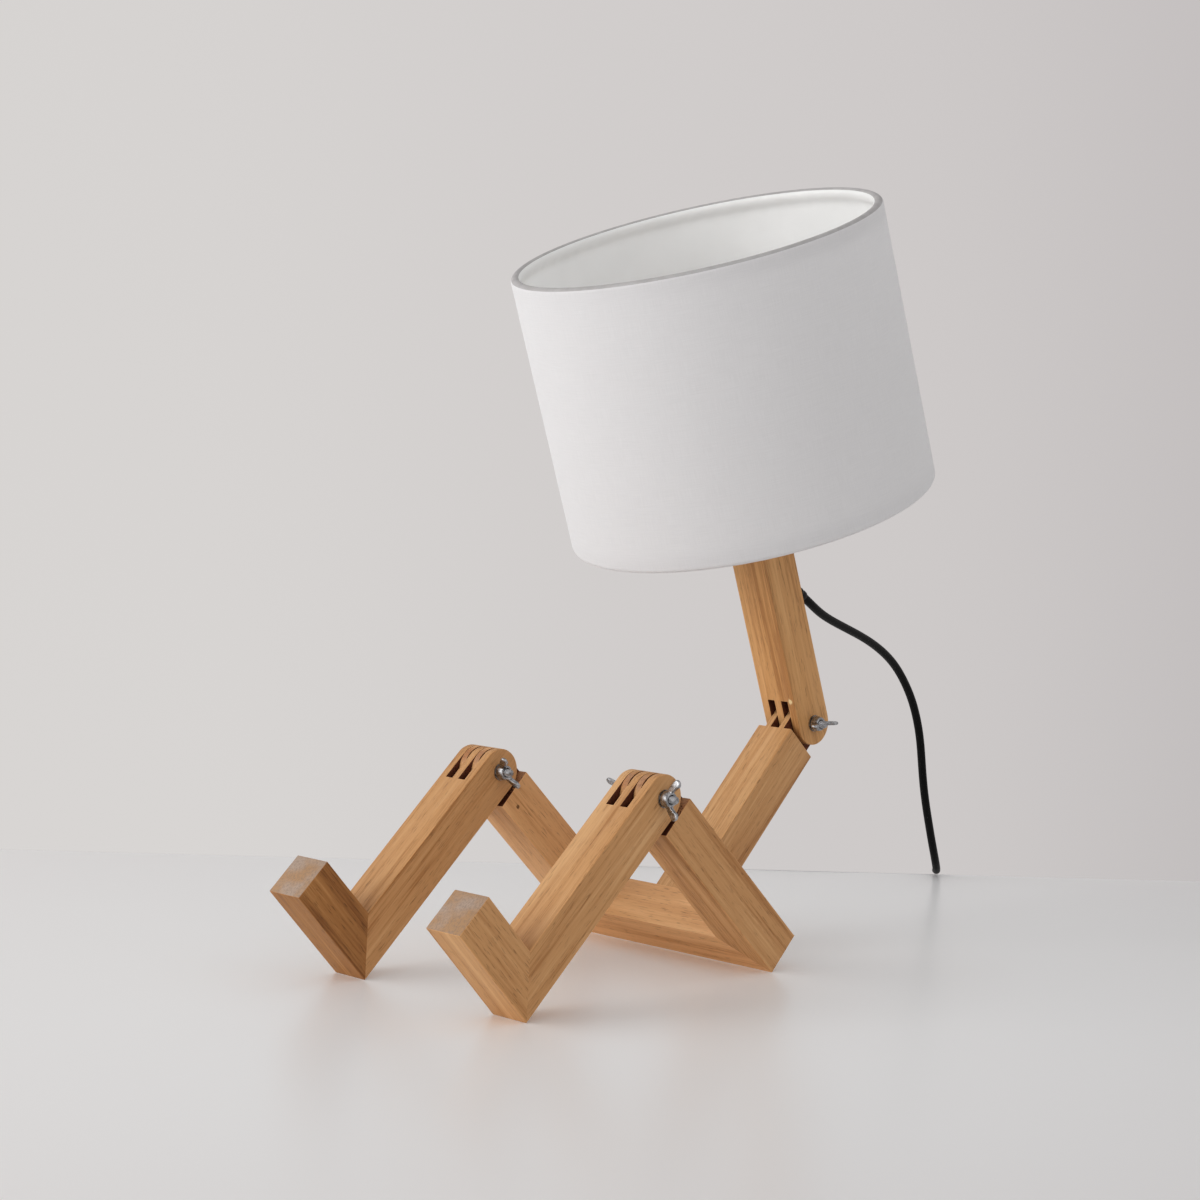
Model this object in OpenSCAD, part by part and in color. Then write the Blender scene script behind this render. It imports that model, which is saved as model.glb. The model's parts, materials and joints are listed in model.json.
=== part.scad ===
// Desk lamp shaped like a little sitting robot: four square wooden limbs with
// finger joints and wing nuts, and a fabric drum shade for a head.
// Millimetres, +Z up, feet towards -Y, standing on Z = 0.

/* [Wooden figure] */
// Side of the square wooden bar that every limb is made from
bar = 24; // [20:1:30]
// Width of the figure across its two thighs
hip_w = 144; // [110:1:200]
// Thigh, from the corner of the hips to the knee pivot
thigh = 126; // [100:1:170]
// Shin, from the knee pivot to the back of the foot
shin = 132; // [105:1:170]
// Foot, from heel to toe
foot = 63; // [45:1:90]
// Torso, from the middle of the crossbar to the waist pivot
torso = 139; // [110:1:180]
// Neck, from the waist pivot to its top
neck_l = 115; // [105:1:150]
// Angle inside the bent knee
knee_angle = 93; // [86:1:130]
// Lean of the neck ahead of upright
lean = 18.5; // [0:0.5:25]

/* [Finger joints] */
// Tightest angle that two jointed bars fold to
fold_angle = 80; // [70:1:84]
// Extra depth of the slots that take the inner fingers
slot_spare = 2.9; // [0.5:0.1:6]
// Gap on the open side of each inner finger
finger_gap = 0.75; // [0.2:0.05:1]
// Gap on the side where each inner finger rubs
finger_rub = 0.15; // [0.05:0.05:0.4]

/* [Joint hardware] */
// Diameter of the wing screws
screw_d = 4; // [3:0.5:6]
// Radial clearance of a screw in the wood
screw_clear = 0.1; // [0.05:0.01:0.1]
// Radial clearance between a nut and its screw
thread_clear = 0.05; // [0.02:0.01:0.1]
// Outer diameter of the washers
washer_d = 9; // [8:0.5:14]
// Thickness of the washers
washer_t = 0.8; // [0.5:0.1:1.6]
// Height of a wing nut's hub and of a wing screw's head
hub_h = 4.6; // [3:0.2:7]
// Diameter of the hubs where they meet the washer
hub_d = 8.4; // [8:0.2:11]
// Distance from the screw's axis to the middle of a wing's round tip
wing_reach = 8; // [7:0.5:12]
// Radius of a wing's round tip
wing_r = 2.3; // [1.5:0.1:3.5]
// Height of a wing's tip above the washer
wing_rise = 7; // [5:0.5:9]
// Thickness of a wing
wing_t = 1.8; // [1.2:0.1:2.6]
// Length of screw that shows past the nut
screw_proud = 3.4; // [1:0.2:6]
// Turn of the nut on the left knee
nut_turn_left = 124; // [0:1:180]
// Turn of the nut on the right knee
nut_turn_right = 84; // [0:1:180]
// Turn of the nut on the waist
nut_turn_waist = 2; // [0:1:180]
// Turn of the wing screw's head on the left knee
head_turn_left = 96; // [0:1:180]
// Turn of the wing screw's head on the right knee
head_turn_right = 135; // [0:1:180]
// Turn of the wing screw's head on the waist
head_turn_waist = 80; // [0:1:180]

/* [Glued joints] */
// Diameter of the hidden dowels
dowel_d = 6; // [4:1:8]
// Length of the hidden dowels
dowel_l = 20; // [14:1:22]
// Distance between the two dowels of a joint
dowel_pitch = 11; // [9:1:12]
// Radial clearance of a dowel in its hole
dowel_clear = 0.05; // [0.02:0.01:0.1]
// Glue space at each end of a dowel
dowel_end = 0.5; // [0.2:0.1:1]

/* [Lampholder] */
// Diameter of the threaded tube that carries the lampholder
nipple_d = 10; // [8:1:13]
// Bore of the threaded tube
nipple_bore = 7.4; // [6:0.1:8]
// Depth of the threaded tube in the neck
nipple_depth = 14; // [10:1:20]
// Length of the threaded tube above the neck
nipple_rise = 7; // [6:0.5:9]
// Outer diameter of the lampholder
holder_d = 39; // [36:0.5:42]
// Wall of the lampholder
holder_wall = 2; // [1.5:0.1:3]
// Height of the lampholder's cap
cap_h = 16; // [14:0.5:22]
// Height of the lampholder's threaded sleeve
sleeve_h = 42; // [36:1:50]
// Height of the shade seat above the cap
seat_h = 8; // [5:0.5:12]
// Diameter of the flange that the shade sits on
seat_d = 48; // [44:0.5:56]
// Thickness of that flange
seat_t = 2.5; // [1.5:0.1:4]
// Height of the ring nut that clamps the shade
clamp_h = 8; // [5:0.5:12]
// Outer diameter of the ring nut
clamp_d = 54; // [50:1:60]
// Inner diameter of the screw shell that takes the bulb
shell_d = 27; // [26.8:0.1:27.4]

/* [Bulb] */
// Diameter of the bulb's screw cap
bulb_cap_d = 26.2; // [25.6:0.1:26.4]
// Height of the bulb's screw cap
bulb_cap_h = 24; // [20:0.5:27]
// Diameter of the bulb
bulb_d = 60; // [45:1:62]
// Length of the bulb from its contact to its tip
bulb_l = 107; // [100:1:112]
// Wall of the bulb
bulb_wall = 1; // [0.8:0.1:1.5]

/* [Shade] */
// Diameter of the drum shade
shade_d = 200; // [160:5:240]
// Height of the drum shade
shade_h = 153; // [130:1:180]
// Depth of the shade's fitting above its lower rim
shade_recess = 14; // [8:1:20]
// Thickness of the fabric on its lining
skin_t = 1; // [0.8:0.1:1.6]
// Diameter of the rings' wire
wire_d = 3; // [2.4:0.1:4]
// Diameter of the spokes' wire
spoke_d = 2.6; // [2:0.1:2.8]
// Height of the hem folded over each ring
hem_h = 7; // [5:0.5:12]
// Play between the wire and the hem
hem_clear = 0.1; // [0.05:0.05:0.3]
// Number of spokes in the frame
spokes = 3; // [3:1:4]
// Width of the fitting ring that shows round the ring nut
fitter_rim = 3; // [2.5:0.5:5]
// Thickness of the fitting ring
fitter_t = 1.6; // [1:0.1:3]
// Play of the fitting ring round the lampholder
fitter_clear = 0.5; // [0.3:0.1:1]

/* [Cord] */
// Diameter of the mains lead
cord_d = 4.8; // [4.4:0.1:5.4]
// Height on the neck at which the lead comes out
exit_v = 80; // [60:1:82]
// Angle by which the lead dips from square to the neck
exit_dip = 50; // [40:0.5:52]
// Diameter of the lead's channel in the neck
channel_d = 8; // [7:0.1:8.4]
// Length of the strain relief outside the neck
relief_l = 20; // [20:1:30]
// Wall of a strain relief at its tip
relief_wall = 0.5; // [0.4:0.1:1]
// Diameter of the coil at the middle of its turns
coil_d = 55; // [50:1:60]
// Turns of lead side by side in the coil
coil_wide = 2; // [1:1:3]
// Turns of lead on each other in the coil
coil_high = 4; // [2:1:5]

/* [Switch and plug] */
// Length of the in-line switch
switch_l = 58; // [50:1:70]
// Width of the in-line switch
switch_w = 24; // [22:1:30]
// Height of the in-line switch
switch_h = 15; // [14:0.5:18]
// Length of the rocker
rocker_l = 15; // [12:0.5:18]
// Width of the rocker
rocker_w = 9; // [7:0.5:11]
// Gap all round the rocker
rocker_gap = 0.5; // [0.3:0.05:0.8]
// Tilt of the rocker to either side
rocker_tilt = 7; // [5:0.5:9]
// Diameter of the rocker's pivot pins
rocker_pin = 2.4; // [2:0.1:3]
// Length of the plug's body
plug_l = 36; // [32:1:42]
// Width of the plug's body
plug_w = 27; // [25:1:34]
// Height of the plug's body
plug_h = 14; // [12:0.5:16]
// Diameter of the plug's pins
pin_d = 4; // [3.9:0.05:4.8]
// Length of the plug's pins
pin_l = 19; // [16:0.5:20]
// Distance between the plug's pins
pin_pitch = 18.6; // [17:0.1:19.2]

/* [Hidden] */
$fn = 64;

// How the figure sits: two soles' heels and the crossbar's edge on the ground.
half = bar / 2;
knee_to_hip = norm([thigh, half]);
knee_to_heel = norm([shin, half]);
knee_ground = knee_angle - atan2(half, thigh) - atan2(half, shin);
tau = atan2(knee_to_heel * sin(knee_ground), knee_to_hip - knee_to_heel * cos(knee_ground))
    - atan2(half, thigh);
sigma = 180 - knee_angle - tau;

// Points of the side view, first with the crossbar's edge at zero.
knee_0 = [-thigh * cos(tau) + half * sin(tau), thigh * sin(tau) + half * cos(tau)];
waist_0 = [-half * cos(tau) + (torso + half) * sin(tau), half * sin(tau) + (torso + half) * cos(tau)];
toe_0 = knee_0.x - shin * cos(sigma) - (foot - half) * sin(sigma);
seat_v = neck_l + cap_h + seat_h;
rim_v = seat_v - shade_recess;
shade_r = shade_d / 2;
back_0 = waist_0.x - rim_v * sin(lean) + shade_r * cos(lean);
hip_y = -(toe_0 + back_0) / 2;
knee = [hip_y + knee_0.x, knee_0.y];
waist = [hip_y + waist_0.x, waist_0.y];
leg_x = hip_w / 2 - half;

// Fingers: five bands across each bar.
band = bar / 5;
slot_inner = half / tan(fold_angle / 2);
slot_outer = slot_inner + slot_spare;
mitre_over = 5;

// Lampholder and bulb, measured up the neck's axis.
sleeve_v = neck_l + cap_h;
holder_r = holder_d / 2;
cap_floor = 2.5;
insert_t = 9;
insert_v = sleeve_v - 3;
shell_wall = 0.5;
shell_v = insert_v + insert_t;
bulb_v = shell_v + 1;
contact_h = 3;
play = 0.3;
clamp_v = seat_v + fitter_t;
fitter_in = holder_r + fitter_clear;
fitter_out = clamp_d / 2 + fitter_rim;
ring_r = shade_r - skin_t - hem_clear - wire_d / 2;
hem_in = ring_r - wire_d / 2 - hem_clear - skin_t;
wire_rise = skin_t + hem_clear + wire_d / 2;

// Where the lead leaves the neck, in the neck's own side view.
exit_run = [cos(exit_dip), -sin(exit_dip)];
channel_top = exit_v + half * tan(exit_dip);
stem_l = 9;
bend_r = 15;
relief_tip_r = cord_d / 2 + relief_wall;
relief_tip = [half, exit_v] + relief_l * exit_run;

// Switch, coil and plug lie behind the lamp in a frame of their own.
stow_at = [-50, 320];
stow_turn = 135;
run_x = 30;
lead_z = 7;
switch_y = 87;
coil_at = [run_x + coil_d / 2, 179];
tail_x = run_x + coil_d;
plug_y = 108;
switch_tip = switch_l / 2 + relief_l;

// Route of the lead from the strain relief down to the ground.
drop_points = [[-1.5, 141, 178.7], [-4, 150, 174.3], [-6.5, 161, 170.2], [-9.5, 175, 165.6],
    [-12.5, 190, 160.8], [-15.5, 205, 155.6], [-18.5, 219, 149.8], [-21, 231.5, 143.4],
    [-23.5, 243, 135.6], [-25.5, 253, 126], [-27, 261.5, 115.5], [-28.5, 268, 104],
    [-29.2, 272.4, 92], [-29.5, 274.5, 79], [-30, 277, 65], [-31, 281, 51.5],
    [-32.5, 286.5, 38], [-35, 293, 25.5], [-38, 300, 14.5], [-42, 307, 7],
    [-47.5, 314, 3.3], [-54, 322, 2.4]];
// Route behind the lamp up to the switch, in the frame it lies in.
ground_points = [[13, 2, 2.4], [21, 6, 2.4], [27, 13, 2.9], [30, 22, 4.2], [30, 29, 6.1],
    [30, 35, 6.9]];
// Route from the switch to the coil and from the coil to the plug.
link_points = [[30, 139, 6.9], [30, 145, 6.1], [30, 152, 4.3], [30, 158, 3], [30, 163, 2.5]];
tail_points = [[85, 163, 16.6], [85, 156, 15.6], [85, 148, 13], [85, 141, 10.2], [85, 135, 8],
    [85, 131, 7.1]];

// Carries a point of the side view, y across and v along, onto the leaning neck.
function on_neck(y, v) = [0, waist.x + y * cos(lean) - v * sin(lean),
    waist.y + y * sin(lean) + v * cos(lean)];
// Carries a point of the stored lead's frame into place.
function stowed(p) = [stow_at.x + p.x * cos(stow_turn) - p.y * sin(stow_turn),
    stow_at.y + p.x * sin(stow_turn) + p.y * cos(stow_turn), p.z];
// Direction of a route at point i.
function heading(p, i) =
    let (a = p[max(i - 1, 0)], b = p[min(i + 1, len(p) - 1)]) (b - a) / norm(b - a);
// A side vector carried along a route without twisting.
function carried(p, side, i = 0, out = []) = i == len(p) ? out :
    let (t = heading(p, i), s = side - (side * t) * t, u = s / norm(s))
    carried(p, u, i + 1, concat(out, [u]));
// Points of an arc from angle a to angle b.
function arc(c, r, a, b, n) = [for (i = [0:n]) c + r * [cos(a + (b - a) * i / n), sin(a + (b - a) * i / n)]];

// ---------------------------------------------------------------- placing

module in_hips() translate([0, hip_y, 0]) rotate([-tau, 0, 0]) children();
module in_leg(side) translate([side * leg_x, knee.x, knee.y]) rotate([sigma, 0, 0]) children();
module at_knee(side) translate([side * leg_x, knee.x, knee.y]) children();
module in_head() translate([0, waist.x, waist.y]) rotate([lean, 0, 0]) children();
module at_waist() translate([0, waist.x, waist.y]) children();
module in_store() translate([stow_at.x, stow_at.y, 0]) rotate([0, 0, stow_turn]) children();

// ---------------------------------------------------------------- wood

// A bar along +Y with its round, drilled finger end on the X axis.
// outer is true for the three-finger end and false for the two inner fingers.
module finger_bar(length, outer) {
    cuts = outer ? [[-1.5 * band, -0.5 * band], [0.5 * band, 1.5 * band]] :
        [[-half - 1, -1.5 * band + finger_rub], [-0.5 * band - finger_gap, 0.5 * band + finger_rub],
        [1.5 * band - finger_gap, half + 1]];
    depth = outer ? slot_outer : slot_inner;
    difference() {
        union() {
            rotate([0, 90, 0]) cylinder(h = bar, r = half, center = true);
            translate([-half, 0, -half]) cube([bar, length, bar]);
        }
        for (c = cuts)
            translate([c[0], -half - 1, -half - 1]) cube([c[1] - c[0], half + 1 + depth, bar + 2]);
        rotate([0, 90, 0]) cylinder(h = bar + 2, d = screw_d + 2 * screw_clear, center = true);
    }
}

// Two dowels, or their holes, through the joint plane at the origin, along X.
module dowel_pair(clear, spare) {
    for (s = [-1, 1])
        translate([0, 0, s * dowel_pitch / 2]) rotate([0, 90, 0])
            cylinder(h = dowel_l + 2 * spare, d = dowel_d + 2 * clear, center = true);
}

module at_hip_mitre(side)
    translate([side * leg_x, -half, half]) rotate([0, 0, side > 0 ? -45 : -135]) children();

module at_torso_seat() translate([0, -half, bar]) rotate([0, 90, 0]) rotate([90, 0, 0]) children();

module at_heel_mitre() translate([0, half - shin, 0]) rotate([-45, 0, 0]) rotate([0, 0, 90])
    rotate([90, 0, 0]) children();

module crossbar() color("peru") in_hips() difference() {
    linear_extrude(bar) polygon([[-hip_w / 2, 0], [hip_w / 2, 0],
        [hip_w / 2 - bar, -bar], [bar - hip_w / 2, -bar]]);
    for (side = [-1, 1])
        at_hip_mitre(side) dowel_pair(dowel_clear, dowel_end);
    at_torso_seat() dowel_pair(dowel_clear, dowel_end);
}

module thigh_bar(side) in_hips() difference() {
    translate([side * leg_x, -thigh, half]) finger_bar(thigh, false);
    translate([0, 0, -1]) linear_extrude(bar + 2)
        polygon([[side * (hip_w / 2 + mitre_over), mitre_over],
            [side * (hip_w / 2 - bar - mitre_over), -bar - mitre_over],
            [side * (hip_w / 2 - bar - mitre_over), mitre_over]]);
    at_hip_mitre(side) dowel_pair(dowel_clear, dowel_end);
}
module thigh_left() color("peru") thigh_bar(-1);
module thigh_right() color("peru") thigh_bar(1);

module torso() color("burlywood") in_hips() difference() {
    translate([0, -half, torso + half]) rotate([-90, 0, 0]) finger_bar(torso - half, false);
    at_torso_seat() dowel_pair(dowel_clear, dowel_end);
}

module hip_dowels() color("wheat") in_hips() for (side = [-1, 1])
    at_hip_mitre(side) dowel_pair(0, 0);
module torso_dowels() color("wheat") in_hips() at_torso_seat() dowel_pair(0, 0);

module shin_bar(side) in_leg(side) difference() {
    rotate([0, 0, 180]) mirror([1, 0, 0]) finger_bar(shin, true);
    heel_wedge(1);
    at_heel_mitre() dowel_pair(dowel_clear, dowel_end);
}

// The half of the heel's square on one side of the mitre.
module heel_wedge(part) {
    a = [-shin - mitre_over, -half - mitre_over];
    b = [bar - shin + mitre_over, half + mitre_over];
    corner = part > 0 ? [a.x, b.y] : [b.x, a.y];
    rotate([90, 0, 90]) linear_extrude(bar + 2, center = true) polygon([a, b, corner]);
}

module foot_bar(side) in_leg(side) difference() {
    translate([-half, -shin, -half]) cube([bar, bar, foot]);
    heel_wedge(-1);
    at_heel_mitre() dowel_pair(dowel_clear, dowel_end);
}

module shin_left() color("peru") shin_bar(-1);
module shin_right() color("peru") shin_bar(1);
module foot_left() color("burlywood") foot_bar(-1);
module foot_right() color("burlywood") foot_bar(1);
module foot_dowels_left() color("wheat") in_leg(-1) at_heel_mitre() dowel_pair(0, 0);
module foot_dowels_right() color("wheat") in_leg(1) at_heel_mitre() dowel_pair(0, 0);

// ---------------------------------------------------------------- hardware

// A pair of rounded wings that rise along +X from a hub, lying along Y.
module wings(turn) rotate([turn, 0, 0]) for (s = [-1, 1])
    mirror([0, s > 0 ? 1 : 0, 0]) linear_extrude(wing_t, center = true) {
        translate([wing_rise, wing_reach]) circle(r = wing_r);
        polygon([[hub_h * 0.15, hub_d * 0.36], [wing_rise - wing_r * 0.87, wing_reach + wing_r * 0.5],
            [wing_rise + wing_r * 0.87, wing_reach - wing_r * 0.5], [hub_h * 0.9, hub_d * 0.36]]);
    }

// The tapered hub of a wing nut or wing screw, along +X.
module hub() rotate([0, 90, 0]) {
    cylinder(h = hub_h * 0.35, d = hub_d);
    translate([0, 0, hub_h * 0.35]) cylinder(h = hub_h * 0.65, d1 = hub_d, d2 = hub_d * 0.84);
}

// A wing screw through a joint, with its head on the -X side.
module wing_screw(turn) {
    grip = half + washer_t;
    mirror([1, 0, 0]) translate([grip, 0, 0]) {
        hub();
        wings(turn);
    }
    end = grip + hub_h + screw_proud;
    chamfer = screw_d / 8;
    translate([-grip, 0, 0]) rotate([0, 90, 0]) {
        cylinder(h = grip + end - chamfer, d = screw_d);
        translate([0, 0, grip + end - chamfer])
            cylinder(h = chamfer, d1 = screw_d, d2 = screw_d - 2 * chamfer);
    }
}

module washer_pair() for (s = [-1, 1])
    translate([s * (half + washer_t / 2), 0, 0]) rotate([0, 90, 0]) difference() {
        cylinder(h = washer_t, d = washer_d, center = true);
        cylinder(h = washer_t + 1, d = screw_d + 4 * screw_clear, center = true);
    }

module wing_nut(turn) translate([half + washer_t, 0, 0]) difference() {
    union() {
        hub();
        wings(turn);
    }
    rotate([0, 90, 0]) translate([0, 0, -1])
        cylinder(h = hub_h + wing_rise + 2, d = screw_d + 2 * thread_clear);
}

module knee_screw_left() color("silver") at_knee(-1) wing_screw(head_turn_left);
module knee_screw_right() color("silver") at_knee(1) wing_screw(head_turn_right);
module waist_screw() color("silver") at_waist() wing_screw(head_turn_waist);
module knee_washers_left() color("lightgray") at_knee(-1) washer_pair();
module knee_washers_right() color("lightgray") at_knee(1) washer_pair();
module waist_washers() color("lightgray") at_waist() washer_pair();
module knee_nut_left() color("silver") at_knee(-1) wing_nut(nut_turn_left);
module knee_nut_right() color("silver") at_knee(1) wing_nut(nut_turn_right);
module waist_nut() color("silver") at_waist() wing_nut(nut_turn_waist);

// ---------------------------------------------------------------- head

// The lead's way out of the neck, from the origin of the channel outwards.
module along_exit() translate([0, half, exit_v]) rotate([-90 - exit_dip, 0, 0]) children();

module neck() color("peru") in_head() difference() {
    rotate([90, 0, 0]) finger_bar(neck_l, true);
    translate([0, 0, neck_l - nipple_depth]) cylinder(h = nipple_depth + 1, d = nipple_d);
    translate([0, 0, channel_top - channel_d / 4]) cylinder(h = neck_l, d = channel_d);
    along_exit() translate([0, 0, -half / cos(exit_dip)])
        cylinder(h = half / cos(exit_dip) + bar, d = channel_d);
}

module nipple() color("goldenrod") in_head() translate([0, 0, neck_l - nipple_depth])
    difference() {
        cylinder(h = nipple_depth + nipple_rise, d = nipple_d);
        translate([0, 0, -1]) cylinder(h = nipple_depth + nipple_rise + 2, d = nipple_bore);
    }

module nipple_nut() color("goldenrod") in_head() translate([0, 0, neck_l + cap_floor])
    difference() {
        cylinder(h = nipple_rise - cap_floor - 1, d = nipple_d + 6, $fn = 6);
        translate([0, 0, -1]) cylinder(h = nipple_rise, d = nipple_d + 2 * thread_clear);
    }

// The lampholder's cap, a dome that stands on the neck.
module holder_cap() color("whitesmoke") in_head() translate([0, 0, neck_l]) rotate_extrude() {
    foot_r = half - 1;
    side = cap_h * 0.62;
    hole_r = nipple_d / 2 + thread_clear;
    in_r = holder_r - holder_wall;
    polygon(concat([[hole_r, 0], [foot_r, 0]],
        arc([foot_r, side], holder_r - foot_r, -70, 0, 8), [[holder_r, cap_h], [in_r, cap_h]],
        arc([foot_r, side], in_r - foot_r, 0, -60, 8), [[foot_r - 1, cap_floor], [hole_r, cap_floor]]));
}

// The threaded sleeve with the flange that the shade rests on.
module holder_sleeve() color("whitesmoke") in_head() translate([0, 0, sleeve_v]) difference() {
    union() {
        cylinder(h = sleeve_h, r = holder_r);
        translate([0, 0, seat_h - seat_t]) cylinder(h = seat_t, d = seat_d);
    }
    translate([0, 0, -1]) cylinder(h = sleeve_h + 2, r = holder_r - holder_wall);
}

// The insulating disc that carries the contacts, with its screw holes.
module holder_insert() color("ivory") in_head() translate([0, 0, insert_v]) difference() {
    cylinder(h = insert_t, r = holder_r - holder_wall - play);
    for (a = [0, 180])
        rotate([0, 0, a]) translate([shell_d / 2 - 3, 0, -1]) cylinder(h = insert_t + 2, d = 3.4);
}

// The screw shell and the middle contact.
module holder_contacts() color("gold") in_head() translate([0, 0, shell_v]) {
    difference() {
        cylinder(h = bulb_cap_h + 1, d = shell_d + 2 * shell_wall);
        translate([0, 0, 0.6]) cylinder(h = bulb_cap_h + 2, d = shell_d);
        translate([0, 0, -1]) cylinder(h = 3, d = shell_d - 9);
    }
    cylinder(h = 0.8, d = 6);
}

module clamp_ring() color("whitesmoke") in_head() translate([0, 0, clamp_v]) difference() {
    union() {
        cylinder(h = clamp_h, d = clamp_d - 3);
        cylinder(h = clamp_h / 3, d = clamp_d);
        for (a = [0:30:330])
            rotate([0, 0, a]) translate([clamp_d / 2 - 1.5, 0, clamp_h / 2])
                cube([2, 3.4, clamp_h], center = true);
    }
    translate([0, 0, -1]) cylinder(h = clamp_h + 2, r = holder_r + thread_clear);
}

// ---------------------------------------------------------------- shade

module wire_ring() rotate_extrude() translate([ring_r, 0]) circle(d = wire_d);

// The lower ring, its spokes and the ring that fits the lampholder.
module shade_frame_lower() color("white") in_head() {
    rise = shade_recess + fitter_t / 2 - wire_rise;
    run = ring_r - fitter_out + spoke_d / 2;
    translate([0, 0, rim_v + wire_rise]) {
        wire_ring();
        for (a = [0:360 / spokes:359])
            rotate([0, 0, a + 90]) translate([ring_r, 0, 0]) rotate([0, -atan2(run, rise), 0])
                cylinder(h = norm([run, rise]), d = spoke_d);
    }
    translate([0, 0, seat_v]) difference() {
        cylinder(h = fitter_t, r = fitter_out);
        translate([0, 0, -1]) cylinder(h = fitter_t + 2, r = fitter_in);
    }
}

module shade_frame_upper() color("white") in_head()
    translate([0, 0, rim_v + shade_h - wire_rise]) wire_ring();

// The fabric on its lining, folded over both rings and notched at the spokes.
module shade_skin() color("whitesmoke") in_head() translate([0, 0, rim_v]) difference() {
    rotate_extrude() polygon([[hem_in, 0], [shade_r, 0], [shade_r, shade_h], [hem_in, shade_h],
        [hem_in, shade_h - hem_h], [hem_in + skin_t, shade_h - hem_h],
        [hem_in + skin_t, shade_h - skin_t], [shade_r - skin_t, shade_h - skin_t],
        [shade_r - skin_t, skin_t], [hem_in + skin_t, skin_t], [hem_in + skin_t, hem_h],
        [hem_in, hem_h]]);
    for (a = [0:360 / spokes:359])
        rotate([0, 0, a + 90]) translate([hem_in - 1, -wire_d / 2 - play, skin_t])
            cube([skin_t + 1 + hem_clear, wire_d + 2 * play, hem_h]);
}

// ---------------------------------------------------------------- bulb

module bulb_cap() color("silver") in_head() translate([0, 0, bulb_v]) {
    cylinder(h = contact_h, d1 = 9, d2 = bulb_cap_d - 4);
    translate([0, 0, contact_h]) cylinder(h = bulb_cap_h - contact_h, d = bulb_cap_d);
}

// The glass: a round head that runs down in an S curve to the cap.
module bulb_glass() color("white") in_head() translate([0, 0, bulb_v + bulb_cap_h]) {
    tall = bulb_l - bulb_cap_h;
    r = bulb_d / 2;
    out = bulb_side(r, tall, 0);
    in = bulb_side(r, tall, bulb_wall);
    rotate_extrude() polygon(concat(out, [for (i = [len(in) - 1:-1:0]) in[i]]));
}
// Half outline of the glass from its foot to its tip, set in by w.
function bulb_side(r, tall, w) = concat(
    [for (i = [0:7]) let (k = i / 8, e = k * k * (3 - 2 * k))
        [bulb_cap_d / 2 - w + (r * cos(-28) - bulb_cap_d / 2) * e, k * (tall - r + r * sin(-28))]],
    arc([0, tall - r], r - w, -28, 89.9, 14), [[0, tall - w]]);

// ---------------------------------------------------------------- lead

// A round lead swept along a route.
module lead(p, sides = 10) {
    side = carried(p, [1, 0.02, 0.01]);
    rings = [for (i = [0:len(p) - 1]) let (t = heading(p, i), w = cross(t, side[i]))
        for (k = [0:sides - 1])
            p[i] + cord_d / 2 * (cos(360 * k / sides) * side[i] + sin(360 * k / sides) * w)];
    last = len(rings) - sides;
    walls = [for (i = [0:len(p) - 2]) for (k = [0:sides - 1])
        let (a = i * sides + k, b = i * sides + (k + 1) % sides) [a, a + sides, b + sides, b]];
    polyhedron(rings, concat(walls, [[for (k = [0:sides - 1]) k]],
        [[for (k = [sides - 1:-1:0]) last + k]]));
}

// A soft cone on the lead, from the origin along +Z.
module relief_cone(length, root_r) difference() {
    cylinder(h = length, r1 = root_r, r2 = relief_tip_r);
    translate([0, 0, -1]) cylinder(h = length + 2, d = cord_d);
}

// The lead inside the neck, from the relief's tip to the lampholder's cap.
module neck_lead() color("black") in_head() {
    turn = 90 - exit_dip;
    cut = bend_r * tan(turn / 2);
    start = [half, exit_v] - stem_l * exit_run;
    bend = arc([bend_r, channel_top + cut], bend_r, 180 + turn, 180, 4);
    lead([for (p = concat([relief_tip, start], bend, [for (v = [0, 0.5, 1])
        [0, neck_l - nipple_depth + v * (nipple_depth + nipple_rise)]])) [0, p.x, p.y]], 8);
}

// The moulded bush in the neck with its tapered tail on the lead.
module cord_relief() color("black") in_head() along_exit() difference() {
    union() {
        translate([0, 0, -stem_l]) cylinder(h = stem_l, d = channel_d - 2 * thread_clear);
        cylinder(h = relief_l, r1 = channel_d / 2 - thread_clear, r2 = relief_tip_r);
    }
    translate([0, 0, -stem_l - 1]) cylinder(h = relief_l + stem_l + 2, d = cord_d);
}

// The lead that hangs from the neck to the ground and on to the switch.
module cord_drop() color("black") {
    bare_tip = relief_tip + cord_d * exit_run;
    lead(concat([on_neck(relief_tip.x, relief_tip.y), on_neck(bare_tip.x, bare_tip.y)],
        drop_points, [for (p = ground_points) stowed(p)],
        [for (y = [switch_tip, switch_l / 2]) stowed([run_x, switch_y - y, lead_z])]));
}

module cord_link() color("black") lead(concat(
    [for (y = [switch_l / 2, switch_tip]) stowed([run_x, switch_y + y, lead_z])],
    [for (p = link_points) stowed(p)]));

module cord_tail() color("black") lead(concat([for (p = tail_points) stowed(p)],
    [for (y = [relief_l, 0]) stowed([tail_x, plug_y + y, lead_z])]));

// The outer shape of the stored coil.
module cord_coil() color("black") in_store() translate([coil_at.x, coil_at.y, 0])
    rotate_extrude() translate([(coil_d - coil_wide * cord_d) / 2, 0])
        square([coil_wide * cord_d, coil_high * cord_d]);

// ---------------------------------------------------------------- switch

// The switch's outline seen from above, along Y.
module switch_plan() {
    square([switch_w, switch_l - 16], center = true);
    for (s = [-1, 1])
        translate([0, s * (switch_l / 2 - 8)]) {
            square([switch_w - 8, 16], center = true);
            for (t = [-1, 1])
                translate([t * (switch_w / 2 - 4), 0]) circle(r = 4);
        }
    for (s = [-1, 1], t = [-1, 1])
        translate([t * (switch_w / 2 - 8), s * (switch_l / 2 - 8)]) circle(r = 8);
}

pivot_z = switch_h - 5;
rocker_top = switch_h + 1.6;

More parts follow.
